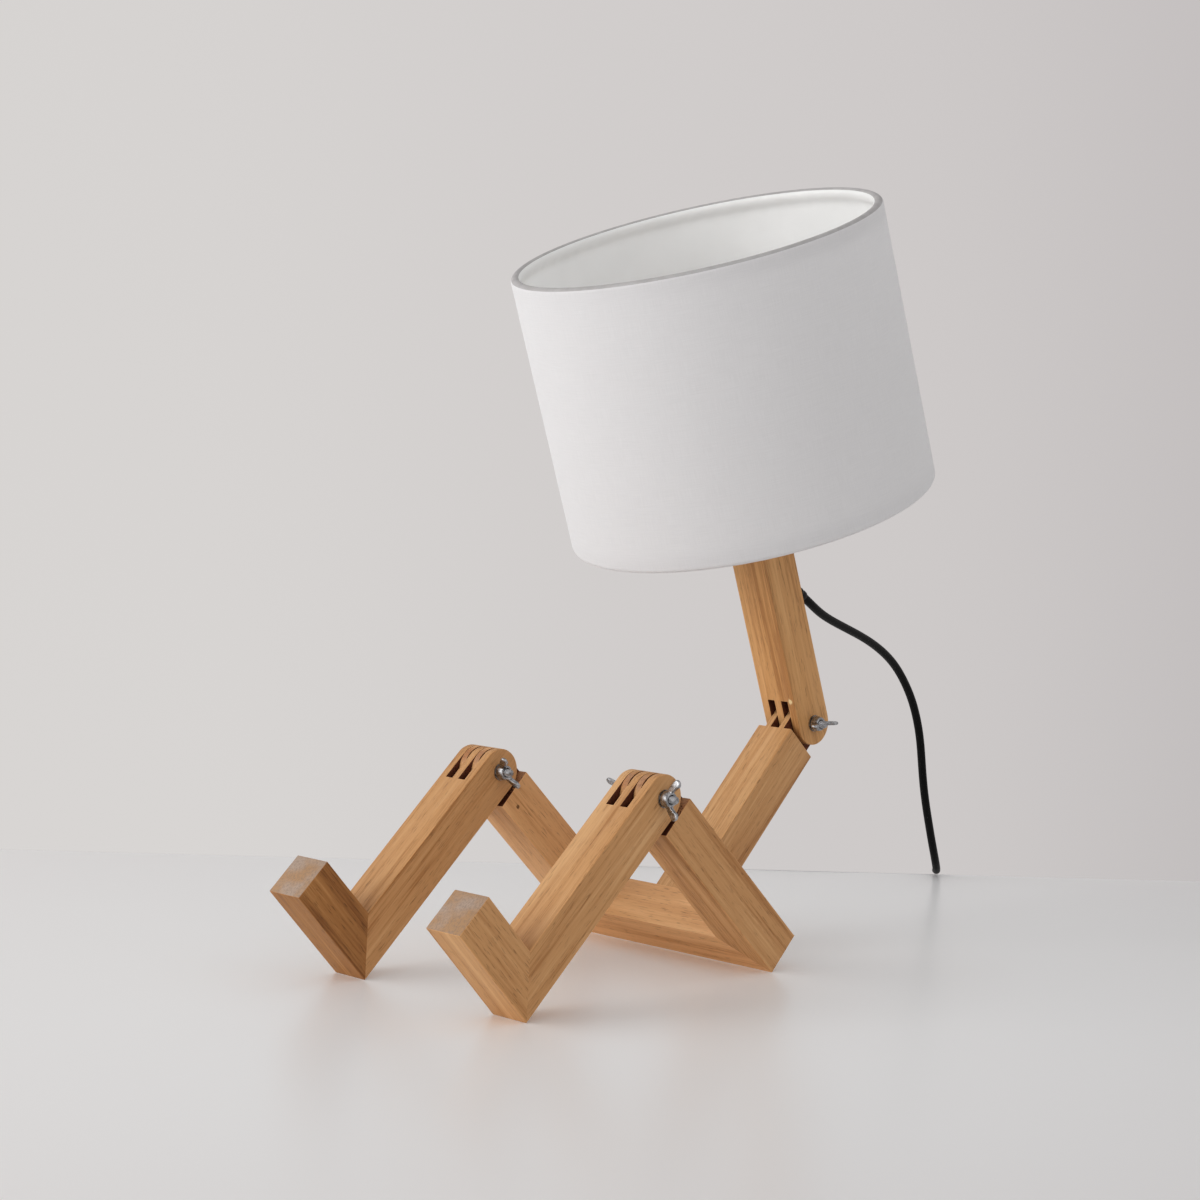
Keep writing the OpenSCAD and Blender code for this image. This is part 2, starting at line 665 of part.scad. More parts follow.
module rocker_well() {
    translate([-rocker_w / 2 - rocker_gap, -rocker_l / 2 - 2 * rocker_gap, 2.4])
        cube([rocker_w + 2 * rocker_gap, rocker_l + 4 * rocker_gap, switch_h]);
    translate([0, 0, pivot_z]) rotate([0, 90, 0])
        cylinder(h = rocker_w + 5, d = rocker_pin + 2 * thread_clear, center = true);
}

module at_switch() in_store() translate([run_x, switch_y, 0]) children();

module switch_lower() color("black") at_switch() difference() {
    linear_extrude(lead_z) switch_plan();
    rocker_well();
}

module switch_upper() color("black") at_switch() difference() {
    intersection() {
        translate([0, 0, lead_z]) linear_extrude(switch_h - lead_z) switch_plan();
        translate([0, 0, switch_h - 60]) rotate([0, 90, 0])
            cylinder(h = 2 * switch_w, r = 60, center = true, $fn = 180);
    }
    rocker_well();
}

module switch_rocker() color("dimgray") at_switch() translate([0, 0, pivot_z])
    rotate([-rocker_tilt, 0, 0]) {
        rise = rocker_top - pivot_z;
        drop = rise - (rocker_l / 2) * tan(rocker_tilt);
        rotate([90, 0, 90]) linear_extrude(rocker_w, center = true)
            polygon(concat([[rocker_l / 2, 0], [rocker_l / 2, rise], [0, drop], [-rocker_l / 2, rise],
                [-rocker_l / 2, 0]], arc([0, 0], 3.6, 180, 360, 10)));
        rotate([0, 90, 0]) cylinder(h = rocker_w + 4, d = rocker_pin, center = true);
    }

module switch_reliefs() color("black") at_switch() for (a = [0, 180])
    rotate([0, 0, a]) translate([0, switch_l / 2, lead_z]) rotate([-90, 0, 0])
        relief_cone(relief_l, lead_z - 1.4);

// ---------------------------------------------------------------- plug

module at_plug() in_store() translate([tail_x, plug_y, lead_z]) children();

module plug_relief() color("black") at_plug() rotate([-90, 0, 0])
    relief_cone(relief_l, lead_z - 2);

// The plug's body: a flat oval face that narrows to the lead.
module plug_body() color("black") at_plug() difference() {
    hull() {
        translate([0, -plug_l, 0]) rotate([-90, 0, 0]) linear_extrude(plug_l * 0.45)
            plug_face(plug_w, plug_h);
        translate([0, -1, 0]) rotate([-90, 0, 0]) linear_extrude(1)
            plug_face(plug_h + 2, plug_h - 2);
    }
    for (s = [-1, 1])
        translate([s * pin_pitch / 2, -plug_l - 1, 0]) rotate([-90, 0, 0])
            cylinder(h = stem_l + 2, d = pin_d - 1);
}
module plug_face(w, h) for (s = [-1, 1])
    translate([s * (w - h) / 2, 0]) circle(d = h, $fn = 28);

module plug_pins() color("silver") at_plug() for (s = [-1, 1])
    translate([s * pin_pitch / 2, -plug_l - pin_l, 0]) rotate([-90, 0, 0]) {
        cylinder(h = 1, d1 = pin_d - 2, d2 = pin_d);
        translate([0, 0, 1]) cylinder(h = pin_l - 1, d = pin_d);
        cylinder(h = pin_l + stem_l, d = pin_d - 1);
    }

// ---------------------------------------------------------------- nodes

crossbar();
thigh_left();
thigh_right();
torso();
hip_dowels();
torso_dowels();
shin_left();
foot_left();
foot_dowels_left();
knee_screw_left();
knee_washers_left();
knee_nut_left();
shin_right();
foot_right();
foot_dowels_right();
knee_screw_right();
knee_washers_right();
knee_nut_right();
neck();
waist_screw();
waist_washers();
waist_nut();
nipple();
nipple_nut();
holder_cap();
holder_sleeve();
holder_insert();
holder_contacts();
clamp_ring();
shade_frame_lower();
shade_frame_upper();
shade_skin();
bulb_cap();
bulb_glass();
neck_lead();
cord_relief();
cord_drop();
switch_lower();
switch_upper();
switch_rocker();
switch_reliefs();
cord_link();
cord_coil();
cord_tail();
plug_relief();
plug_body();
plug_pins();
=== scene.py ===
# %% [markdown]
# # A desk lamp that sits like a robot
#
# Four limbs of square wooden bar carry a white drum shade for a head. The bars turn on finger
# joints, which wing nuts hold tight, and a black lead comes out of the back of the neck.
#
# The measured solids of the lamp come in first as a fixed frame. This lesson then dresses them.
# Some solids keep their shape and get a finish, and others give way to a finer piece that stands
# in the same place. The box around the solids is kept, because the dressed lamp has to fit it.

# %% Load the frame
import json
from math import cos, dist, hypot, pi, radians, sin, sqrt

import bmesh
import bpy
import numpy as np
from mathutils import Matrix, Vector

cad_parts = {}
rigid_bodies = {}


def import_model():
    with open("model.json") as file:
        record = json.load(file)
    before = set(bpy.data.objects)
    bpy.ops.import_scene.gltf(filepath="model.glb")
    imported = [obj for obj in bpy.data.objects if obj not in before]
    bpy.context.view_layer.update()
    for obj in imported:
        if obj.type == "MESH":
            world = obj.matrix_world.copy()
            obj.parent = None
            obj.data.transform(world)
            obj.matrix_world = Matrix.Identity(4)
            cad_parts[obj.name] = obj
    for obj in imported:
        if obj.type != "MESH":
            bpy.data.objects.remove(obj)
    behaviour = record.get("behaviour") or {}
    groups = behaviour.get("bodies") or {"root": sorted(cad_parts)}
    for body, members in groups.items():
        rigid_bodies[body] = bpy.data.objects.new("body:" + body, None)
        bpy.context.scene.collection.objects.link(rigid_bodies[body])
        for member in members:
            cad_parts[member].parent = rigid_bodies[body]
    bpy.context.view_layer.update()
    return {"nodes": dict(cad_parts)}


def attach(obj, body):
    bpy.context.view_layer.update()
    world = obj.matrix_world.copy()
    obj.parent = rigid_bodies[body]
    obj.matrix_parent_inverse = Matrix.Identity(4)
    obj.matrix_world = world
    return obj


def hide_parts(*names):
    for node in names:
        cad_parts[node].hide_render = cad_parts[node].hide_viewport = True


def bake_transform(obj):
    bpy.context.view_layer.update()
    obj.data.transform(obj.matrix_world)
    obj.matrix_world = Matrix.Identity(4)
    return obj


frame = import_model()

scene = bpy.context.scene

# %% [markdown]
# ## Camera
#
# A long lens from low on the right gives calm, nearly parallel edges on the bars. The camera's
# three directions are given as they were measured. The small shift only places the lamp in the
# square frame, so the verticals stay upright.

# %% Camera
right = Vector((0.680856, 0.732328, 0.011491))
up = Vector((-0.051648, 0.032356, 0.998141))
back = Vector((0.730594, -0.680183, 0.059853))
camera = bpy.data.objects.new("camera", bpy.data.cameras.new("camera"))
camera.matrix_world = (Matrix.Translation((0.955988, -0.955995, 0.287813))
                       @ Matrix((right, up, back)).transposed().to_4x4())
camera.data.sensor_width = 36
camera.data.lens = 78
camera.data.shift_x = 0.0465
camera.data.shift_y = -0.0303
scene.collection.objects.link(camera)
scene.camera = camera
print("camera at", [round(c, 3) for c in camera.location])

# %% [markdown]
# ## Places on the lamp
#
# Every shape below is drawn in millimetres in the frame of the limb that it belongs to, because a
# bar is easiest to draw along an axis. A place is one matrix that turns those millimetres into
# metres on the sitting lamp. The hips lean back, the shins lean forward and the neck leans with
# the head.

# %% Places
MM = Matrix.Scale(0.001, 4)
BAR, HIP_W, SHIN, LEG_X = 24, 144, 132, 60
HALF = BAR / 2
SIDES = {"left": -1, "right": 1}
HIPS_LEAN, SHINS_LEAN, HEAD_LEAN = -44.8866, 42.1134, 18.5
WAIST = (0, 0.1279071, 0.1154527)


def offset(x, y, z):
    """A move by so much."""
    return Matrix.Translation((x, y, z))


def turned(degrees, axis):
    """A turn about an axis."""
    return Matrix.Rotation(radians(degrees), 4, axis)


def tilted(spot, lean):
    """A place at a spot in metres, leaning about X."""
    return offset(*spot) @ turned(lean, "X") @ MM


def knee(s, lean):
    """The place of the left knee for s = -1, and of the right one for s = 1."""
    return tilted((s * 0.060, -0.0509556, 0.0974210), lean)


hip_place = tilted((0, 0.0298475, 0), HIPS_LEAN)
waist_place, head_place = tilted(WAIST, 0), tilted(WAIST, HEAD_LEAN)
knee_place = {s: knee(s, 0) for s in (-1, 1)}
leg_place = {s: knee(s, SHINS_LEAN) for s in (-1, 1)}
store_place = offset(-0.050, 0.320, 0) @ turned(135, "Z") @ MM
exit_place = head_place @ offset(0, HALF, 80) @ turned(-140, "X")
print("knee at", [round(c, 4) for c in knee_place[1].translation])

# %% [markdown]
# ## Making shapes
#
# Three shapes make nearly everything: a tube along a line, an outline turned about an axis, and a
# thread. All are rows of points with faces between them, so one helper joins the rows.

# %% Rows of points
def between(rows, cols, closed=False):
    """Faces between rows of points, with a cap on both ends unless the rows close on themselves."""
    faces = []
    for r in range(rows if closed else rows - 1):
        for c in range(cols):
            a, b = r * cols, (r + 1) % rows * cols
            d = (c + 1) % cols
            faces.append((a + c, a + d, b + d, b + c))
    if not closed:
        faces += [tuple(range(cols))[::-1], tuple(range((rows - 1) * cols, rows * cols))]
    return faces


def lathe(outline, steps=64, closed=False, wave=None):
    """An outline of (radius, height) turned about Z. wave may change each point by its angle."""
    points = []
    for radius, height in outline:
        for k in range(steps):
            a = 2 * pi * k / steps
            r, h = wave(a, radius, height) if wave else (radius, height)
            points.append((r * cos(a), r * sin(a), h))
    return points, between(len(outline), steps, closed)


def thread(crest, depth, pitch, low, high, steps=28, fade=0.6):
    """A threaded rod along Z with chamfered ends."""
    rows = int((high - low) / pitch * 8) + 1

    def cut(angle, radius, height):
        """The groove, and the chamfer at both ends."""
        phase = height / pitch - angle / (2 * pi)
        groove = depth * (0.5 + 0.5 * cos(2 * pi * phase))
        end = max(0, fade - min(height - low, high - height))
        return min(radius - groove, crest - end), height
    return lathe([(crest, low + (high - low) * i / rows) for i in range(rows + 1)], steps, wave=cut)


print("a turned test ring has", len(lathe([(1, 0), (2, 0), (2, 1)])[0]), "points")

# %% [markdown]
# The ring of points of a tube is carried along its line and only tilted, never turned about it, so
# its skin has no twist.

# %% Tubes and groups of shapes
def tube(line, radius, sides=14):
    """A round tube along a line of points, which doesn't twist on its way."""
    line = np.array(line, float)
    ahead = np.gradient(line, axis=0)
    ahead /= np.linalg.norm(ahead, axis=1)[:, None]
    side = np.cross(ahead[0], (0.3, 0.2, 1))
    points = []
    for p, t in zip(line, ahead):
        side = side - t * side.dot(t)
        side /= np.linalg.norm(side)
        other = np.cross(t, side)
        for k in range(sides):
            a = 2 * pi * k / sides
            points.append(tuple(p + radius * (cos(a) * side + sin(a) * other)))
    return points, between(len(line), sides)


def joined(*shapes):
    """Several shapes as one list of points and one list of faces."""
    points, faces = [], []
    for p, f in shapes:
        faces += [tuple(i + len(points) for i in face) for face in f]
        points += [tuple(q) for q in p]
    return points, faces


def moved(shape, matrix):
    """A shape carried by a matrix."""
    return [tuple(matrix @ Vector(p)) for p in shape[0]], shape[1]


print("a test tube has", len(tube([(0, 0, k) for k in range(4)], 1)[1]), "faces")

# %% [markdown]
# A shape becomes an object once its points are carried to their place on the lamp. Its faces are
# turned outwards and shaded smooth, and its crisp corners are kept crisp. Then it rides on the body
# of the lamp that it belongs to, so that it moves with it, and the solid that it stands for is
# hidden.


# %% Pieces
def placed(name, mesh, body=None, stands_for=()):
    """An object at rest that rides on a body and takes the place of solids."""
    obj = bpy.data.objects.new(name, mesh)
    scene.collection.objects.link(obj)
    if body:
        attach(obj, body)
    for node in stands_for:
        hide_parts(node)
    return obj


def smoothed(mesh, sharp):
    """Smooth shading, with a crease where the surface turns by more than sharp."""
    mesh.polygons.foreach_set("use_smooth", [True] * len(mesh.polygons))
    mesh.set_sharp_from_angle(angle=radians(sharp))


def piece(name, shape, place, body, look, stands_for=(), sharp=35):
    """One named object of the lamp, from a shape in the millimetres of its place."""
    mesh = bpy.data.meshes.new(name)
    mesh.from_pydata([place @ Vector(p) for p in shape[0]], [], shape[1])
    bm = bmesh.new()
    bm.from_mesh(mesh)
    bmesh.ops.recalc_face_normals(bm, faces=bm.faces)
    bm.to_mesh(mesh)
    bm.free()
    smoothed(mesh, sharp)
    mesh.materials.append(look)
    return placed(name, mesh, body, stands_for)


def dress(look, *names):
    """Gives a finish to solids that keep their shape."""
    for name in names:
        frame["nodes"][name].data.materials.clear()
        frame["nodes"][name].data.materials.append(look)


print("solids that may be dressed:", len(frame["nodes"]))

# %% [markdown]
# ## Mixing finishes
#
# A finish is a small network of nodes. Writing one by hand takes many lines, so these helpers make
# a node and wire its inputs in one call. Colours are given as the eye names them, from 0 to 255,
# and turned into the linear light that the shader works in.

# %% Finish helpers
def tint(r, g, b):
    """A colour of 0 to 255 in linear light."""
    return tuple((c / 12.92 if c <= 0.04045 else ((c + 0.055) / 1.055) ** 2.4)
                 for c in (r / 255, g / 255, b / 255)) + (1,)


class Finish:
    """A material, or a world, whose nodes are made and wired one call at a time."""

    def __init__(self, name, kind=bpy.data.materials):
        self.material = kind.new(name)
        self.material.use_nodes = True
        self.tree = self.material.node_tree
        self.tree.nodes.clear()

    def add(self, kind, wires=None, **settings):
        """A node with its settings. Each of its inputs is given a value or a wire."""
        node = self.tree.nodes.new("ShaderNode" + kind)
        for key, value in settings.items():
            setattr(node, key, value)
        for key, value in (wires or {}).items():
            if isinstance(value, bpy.types.NodeSocket):
                self.tree.links.new(value, node.inputs[key])
            else:
                node.inputs[key].default_value = value
        return node.outputs[0] if node.outputs else node

    def place(self):
        """The point on the object that is being shaded."""
        return self.add("TexCoord").node.outputs["Object"]

    def vector(self, how, a, b, result="Vector"):
        """Arithmetic on two vectors."""
        return self.add("VectorMath", {0: a, 1: b}, operation=how).node.outputs[result]

    def math(self, how, *values):
        """Arithmetic on numbers."""
        return self.add("Math", dict(enumerate(values)), operation=how)

    def span(self, value, start, end, low=0.0, high=1.0):
        """The value's way from start to end, as a number from low to high."""
        return self.add("MapRange", {0: value, 1: start, 2: end, 3: low, 4: high})

    def ramp(self, factor, *stops):
        """A smooth ramp through (position, colour) stops, with colours of 0 to 255."""
        out = self.add("ValToRGB", {0: factor})
        band = out.node.color_ramp
        band.interpolation = "EASE"
        while len(band.elements) < len(stops):
            band.elements.new(0.5)
        for element, (position, colour) in zip(band.elements, stops):
            element.position, element.color = position, tint(*colour)
        return out

    def mix(self, factor, a, b):
        """Colour a where the factor is 0, and colour b where it is 1."""
        a, b = (tint(*c) if isinstance(c, (tuple, list)) else c for c in (a, b))
        return self.add("Mix", {0: factor, 6: a, 7: b}, data_type="RGBA").node.outputs[2]

    def noise(self, where, scale, detail=3, rough=0.5, stretch=None):
        """Noise, drawn out by a stretch of its three directions."""
        if stretch:
            where = self.vector("MULTIPLY", where, stretch)
        return self.add("TexNoise", {"Vector": where, "Scale": scale, "Detail": detail,
                                     "Roughness": rough})

    def done(self, **sockets):
        """The surface itself, from the names of the main shader's sockets."""
        shader = self.add("BsdfPrincipled", {k.replace("_", " "): v for k, v in sockets.items()})
        self.add("OutputMaterial", {0: shader})
        return self.material

    def bump(self, height, distance, strength=1.0):
        """A surface made uneven by a height."""
        return self.add("Bump", {"Height": height, "Distance": distance, "Strength": strength})


print("mid grey in linear light is", round(tint(128, 128, 128)[0], 3))

# %% [markdown]
# Most materials of the lamp are mottled: their tone wanders a little between a dark and a pale one,
# their gloss does the same, and a fine noise makes the surface uneven. One helper makes them all.


# %% Mottled finishes
def mottled(name, dark, pale, grain, rough, uneven=None, stops=(0.3, 0.7), **sockets):
    """grain is the noise of the tone. rough is one value, or the noise of the gloss and its range.
    uneven is the noise of the surface, its height in metres and its strength."""
    f = Finish(name)
    where = f.place()
    if isinstance(rough, tuple):
        rough = f.span(f.noise(where, *rough[0]), 0, 1, *rough[1:])
    if uneven:
        sockets["Normal"] = f.bump(f.noise(where, *uneven[0]), *uneven[1:])
    tone = f.ramp(f.noise(where, *grain), (stops[0], dark), (stops[1], pale))
    return f.done(Base_Color=tone, Roughness=rough, **sockets)


print("finishes so far:", len(bpy.data.materials))

# %% [markdown]
# ## The lead
#
# A mains lead has a memory of its drum. It leaves the neck along its strain relief, runs out
# nearly straight, turns down under its own weight and reaches the surface behind the lamp. The
# length that is left over is wound into a neat round coil, with an in-line switch before it and
# the plug beside it. The route is drawn through the same points as the solid lead, then evened
# out, so that no bend is tighter than four diameters.

# %% Helpers of the route
LEAD_D = 4.8
# Where the stowed lead lies, in its own frame: the lines of the switch and of the plug, the height
# of the lead in both, and the middle and radius of the coil.
RUN_X, PLUG_X, SEAT = 30, 85, 7
COIL_X, COIL_Y, COIL_R = 57.5, 179, 27.5


def polar(radius, degrees, x=0.0, y=0.0):
    """A point at an angle about (x, y)."""
    a = radians(degrees)
    return x + radius * cos(a), y + radius * sin(a)


def on_neck(y, v):
    """A point of the neck's side view, in millimetres on the sitting lamp."""
    return head_place @ Vector((0, y, v)) * 1000


def stowed(x, y, z):
    """A point of the stowed lead's frame, in millimetres on the sitting lamp."""
    return store_place @ Vector((x, y, z)) * 1000


print("the coil is", 2 * COIL_R + 2 * LEAD_D, "mm across")

# %% [markdown]
# A curve goes through the points, is rounded a little, and is cut into even steps, because a bend
# with uneven steps shows flats.

# %% Smooth lines
def even(line, step):
    """The same line in even steps."""
    far = np.r_[0, np.cumsum(np.linalg.norm(np.diff(line, axis=0), axis=1))]
    want = np.linspace(0, far[-1], int(round(far[-1] / step)) + 1)
    return np.stack([np.interp(want, far, line[:, k]) for k in range(3)], 1)


def drawn(points, step=2.5, soft=3):
    """One smooth line near the points, in even steps."""
    p = np.array([tuple(q) for q in points], float)
    p = np.vstack([2 * p[0] - p[1], p, 2 * p[-1] - p[-2]])
    line = []
    for i in range(1, len(p) - 2):
        a, b, c, d = p[i - 1:i + 3]
        t1 = np.linalg.norm(b - a) ** 0.5
        t2 = t1 + np.linalg.norm(c - b) ** 0.5
        t3 = t2 + np.linalg.norm(d - c) ** 0.5
        for t in np.linspace(t1, t2, 8, endpoint=False):
            ab = (a * (t1 - t) + b * t) / t1
            bc = (b * (t2 - t) + c * (t - t1)) / (t2 - t1)
            cd = (c * (t3 - t) + d * (t - t2)) / (t3 - t2)
            abc = (ab * (t2 - t) + bc * t) / t2
            bcd = (bc * (t3 - t) + cd * (t - t1)) / (t3 - t1)
            line.append((abc * (t2 - t) + bcd * (t - t1)) / (t2 - t1))
    line = even(np.array(line + [p[-2]]), step)
    pad = 3 * soft
    weight = np.exp(-0.5 * (np.arange(-pad, pad + 1) / soft) ** 2)
    weight /= weight.sum()
    line = np.vstack([2 * line[0] - line[1:pad + 1][::-1], line,
                      2 * line[-1] - line[-pad - 1:-1][::-1]])
    return np.stack([np.convolve(line[:, k], weight, "valid") for k in range(3)], 1)


print("a test line of 100 mm has", len(drawn([(0, 0, 0), (50, 0, 0), (100, 0, 0)])), "points")

# %% [markdown]
# The first points lie inside the strain relief, the next ones hang in the air behind the neck, and
# the last ones lie on the surface and rise into the switch.

# %% Route of the lead
hang = [(-1.5, 141, 178.7), (-4, 150, 174.3), (-6.5, 161, 170.2), (-9.5, 175, 165.6),
        (-12.5, 190, 160.8), (-15.5, 205, 155.6), (-18.5, 219, 149.8), (-21, 231.5, 143.4),
        (-23.5, 243, 135.6), (-25.5, 253, 126), (-27, 261.5, 115.5), (-28.5, 268, 104),
        (-29.2, 272.4, 92), (-29.5, 274.5, 79), (-30, 277, 65), (-31, 281, 51.5),
        (-32.5, 286.5, 38), (-35, 293, 25.5), (-38, 300, 14.5), (-42, 307, 7),
        (-47.5, 314, 3.3), (-54, 322, 2.4)]
lie = [(13, 2, 2.4), (21, 6, 2.4), (27, 13, 2.9), (RUN_X, 22, 4.2), (RUN_X, 29, 6.1),
       (RUN_X, 35, 6.9)] + [(RUN_X, y, SEAT) for y in (38, 58, 116, 136)]
relief_end = [polar(k, -50, HALF, 80) for k in (12, 20, 24.8)]
free = drawn([on_neck(*p) for p in relief_end] + hang + [stowed(*p) for p in lie])
print("points on the free lead:", len(free))

# %% [markdown]
# The coil is two turns wide and four high. Going round once, the lead steps sideways by its own
# thickness, and on the next turn it climbs by the same amount. Each step is over before the turn
# below begins its own, so the turns touch and never cut into each other. The gentle cosine of each
# step keeps the bends wide.

# %% Coil of the lead
SIDESTEPS = ((0.70, 0.94, -1), (2.29, 2.53, 1), (3.92, 4.16, -1), (5.51, 5.75, 1))
CLIMBS = ((1.53, 1.70, 1), (3.16, 3.29, 1), (4.75, 4.92, 1))


def ease(k):
    """A gentle step from 0 to 1."""
    return 0.5 - 0.5 * cos(pi * min(max(k, 0), 1))


def wound(turn):
    """The coil's centreline after so many turns."""
    side, rise = (sum(s * ease((turn - a) / (b - a)) for a, b, s in spans)
                  for spans in (SIDESTEPS, CLIMBS))
    r, a = COIL_R + LEAD_D / 2 + LEAD_D * side, pi * (1 - 2 * turn)
    return stowed(COIL_X + r * cos(a), COIL_Y + r * sin(a), 2.4 + LEAD_D * rise)


coiled = [stowed(RUN_X - 2.4 * ease((y - 150) / 29), y, SEAT - 4.6 * ease((y - 136) / 26))
          for y in range(138, 179, 2)]
coiled += [wound(k / 60) for k in range(390)]
coiled += [stowed(87.4 - 2.4 * ease((179 - y) / 29), y, 16.8 - 9.8 * ease((167 - y) / 36))
           for y in range(179, 128, -2)]
coiled += [stowed(PLUG_X, y, SEAT) for y in (128, 118, 104)]
lead_line = even(np.vstack([free, [tuple(p) for p in coiled]]), 2.5)
lead_length = float(np.linalg.norm(np.diff(lead_line, axis=0), axis=1).sum()) / 1000
print("lead:", round(lead_length, 3), "m in", len(lead_line), "points")

# %% [markdown]
# The lead's skin is black PVC. It is satin, a little dusty, and faintly uneven where the wires
# inside it twist.

# %% Finish of the lead
black_pvc = mottled("black_pvc", (4, 4, 4), (10, 10, 10), (90, 4), ((90, 4), 0.42, 0.55),
                    ((2600, 2), 0.00004, 0.5), (0.3, 0.75), Specular_IOR_Level=0.1)

lead = piece("mains_lead", tube(lead_line, LEAD_D / 2), MM, None, black_pvc,
             ["cord_drop", "cord_link", "cord_coil", "cord_tail"])
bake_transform(lead)

# %% [markdown]
# ## Floor, wall and light
#
# The lamp stands on a pale satin surface. Its tone is painted light: it falls off slowly from the left
# to the right and rises towards the far edge, as the studio light does, and a painted pool of light
# round the lamp makes the lamp's shadow paler.

# %% Floor
def backdrop(name, corners, look):
    """A flat sheet of the studio."""
    mesh = bpy.data.meshes.new(name)
    mesh.from_pydata(corners, [], [(0, 1, 2, 3)])
    mesh.materials.append(look)
    return placed(name, mesh)


f = Finish("pale_surface_painted_light")
where = f.place()
rightwards = f.vector("DOT_PRODUCT", where, (0.68, 0.73, 0), "Value")
backwards = f.vector("DOT_PRODUCT", where, (-0.67, 0.742, 0), "Value")
near_lamp = f.vector("DISTANCE", where, (0.05, 0.02, 0), "Value")
# painted light: paler on the left, where the key light stands, and darker to the right
tone = f.mix(f.span(rightwards, -0.5, 0.6), (236, 233, 232), (219, 215, 215))
# painted light: paler towards the far edge, by the wall
tone = f.mix(f.span(backwards, 0.0, 0.3, high=0.6), tone, (242, 239, 239))
tone = f.mix(f.math("MULTIPLY", f.noise(where, 3, 2), 0.12), tone, (215, 212, 212))
# painted light: a paler pool round the lamp lifts its shadow
tone = f.mix(f.span(near_lamp, 0.6, 0.15, high=0.8), tone, (248, 249, 250))
surface = f.done(Base_Color=tone, Roughness=0.3, Specular_IOR_Level=0.4,
                 Normal=f.bump(f.noise(where, 1200, 2), 0.00003, 0.3))
REACH, JUST_UNDER = 2.2, -0.0002
floor = backdrop("floor", [(x * REACH, y * REACH, JUST_UNDER)
                           for x, y in ((-1, -1), (1, -1), (1, 1), (-1, 1))], surface)
print("floor:", 2 * REACH, "m wide")

# %% [markdown]
# The pale wall is seen only from its front, so that it doesn't stand in the way when the lamp is
# looked at from behind. It glows by itself in the soft greys of a lit studio wall, casts no shadow
# and lights nothing. Its glow is painted light: paler on the left, darker on the right, and changing
# towards the top.

# %% Wall
f = Finish("studio_wall")
along = f.add("SeparateXYZ", {0: f.add("TexCoord").node.outputs["Generated"]}).node.outputs
# painted light: the wall's glow is paler on the left and darker on the right
low = f.ramp(along[0], (0.44, (216, 213, 211)), (0.53, (206, 202, 201)),
             (0.6, (190, 186, 186)))
high = f.ramp(along[0], (0.40, (214, 211, 209)), (0.5, (209, 205, 204)),
              (0.6, (195, 190, 190)))
lit = f.add("Emission", {0: f.mix(f.span(along[2], 0.0, 0.45), low, high), 1: 1.0})
behind = f.add("NewGeometry").node.outputs["Backfacing"]
f.add("OutputMaterial", {0: f.add("MixShader", {0: behind, 1: lit, 2: f.add("BsdfTransparent")})})
wall_from, wall_run = Vector((-0.4970, -0.0810, 0)), Vector((0.742, 0.670, 0))
wall_rise = Vector((0, 0, 2))
start, end = (wall_from + wall_run * k for k in (-2.0, 2.8))
wall = backdrop("wall", [start, end, end + wall_rise, start + wall_rise], f.material)
wall.visible_shadow = wall.visible_diffuse = False
print("wall:", round((end - start).length, 1), "m wide")

# %% [markdown]
# One big soft light stands to the left in front of the lamp. It gives the bars a light front and a
# darker flank, and the shade its slow change from bright to grey. A low one in front lifts the
# faces that look down, a weak one on the right keeps the shadows open, and the white sky does the
# rest. Rays that go from the camera to the sky see the wall's grey instead.

# %% Light
f = Finish("studio", bpy.data.worlds)
rays = f.add("LightPath").node.outputs
direct = f.math("MAXIMUM", rays["Is Camera Ray"], rays["Is Glossy Ray"])
direct = f.math("MAXIMUM", direct, rays["Is Transmission Ray"])
sky = f.add("Background", {0: (1, 0.997, 0.995, 1), 1: 0.56})
seen = f.add("Background", {0: tint(210, 206, 205), 1: 1})
f.add("OutputWorld", {0: f.add("MixShader", {0: direct, 1: sky, 2: seen})})
scene.world = f.material
scene.view_settings.view_transform = "Standard"


def soft_light(name, spot, aim, size, power):
    """A square light at a spot, turned towards what it lights."""
    light = bpy.data.lights.new(name, "AREA")
    light.size, light.energy, light.color = size, power, (1, 0.997, 0.99)
    obj = placed(name, light)
    obj.location = spot
    obj.rotation_euler = (Vector(aim) - Vector(spot)).to_track_quat("-Z", "Y").to_euler()


soft_light("key", (-0.95, -1.6, 0.78), (0, 0.05, 0.18), 1.3, 15.5)
soft_light("bounce", (-0.1, -1.9, 0.12), (0, 0.05, 0.15), 1.4, 8)
soft_light("fill", (1.6, -0.3, 1.0), (0, 0.05, 0.18), 1.4, 3.2)

# %% [markdown]
# ## Wood
#
# The bars are planed from a warm, light brown hardwood and sealed with a satin varnish. Seen close,
# such wood has marks of four sizes: a slow change of tone along the bar, soft bands, fine lines
# inside them, and short dark pores. All four are noise that is drawn out along the grain. The noise
# is solid, so it runs on round every edge, and the cut ends show the pores as dots, as real end
# grain does. End grain soaks up varnish, so it has a colour of its own. The neck is glued up from
# strips, whose tones differ. Marks are small spots of another colour: a knot, a fresh chip, and dark
# spots of painted shade deep in the joints.

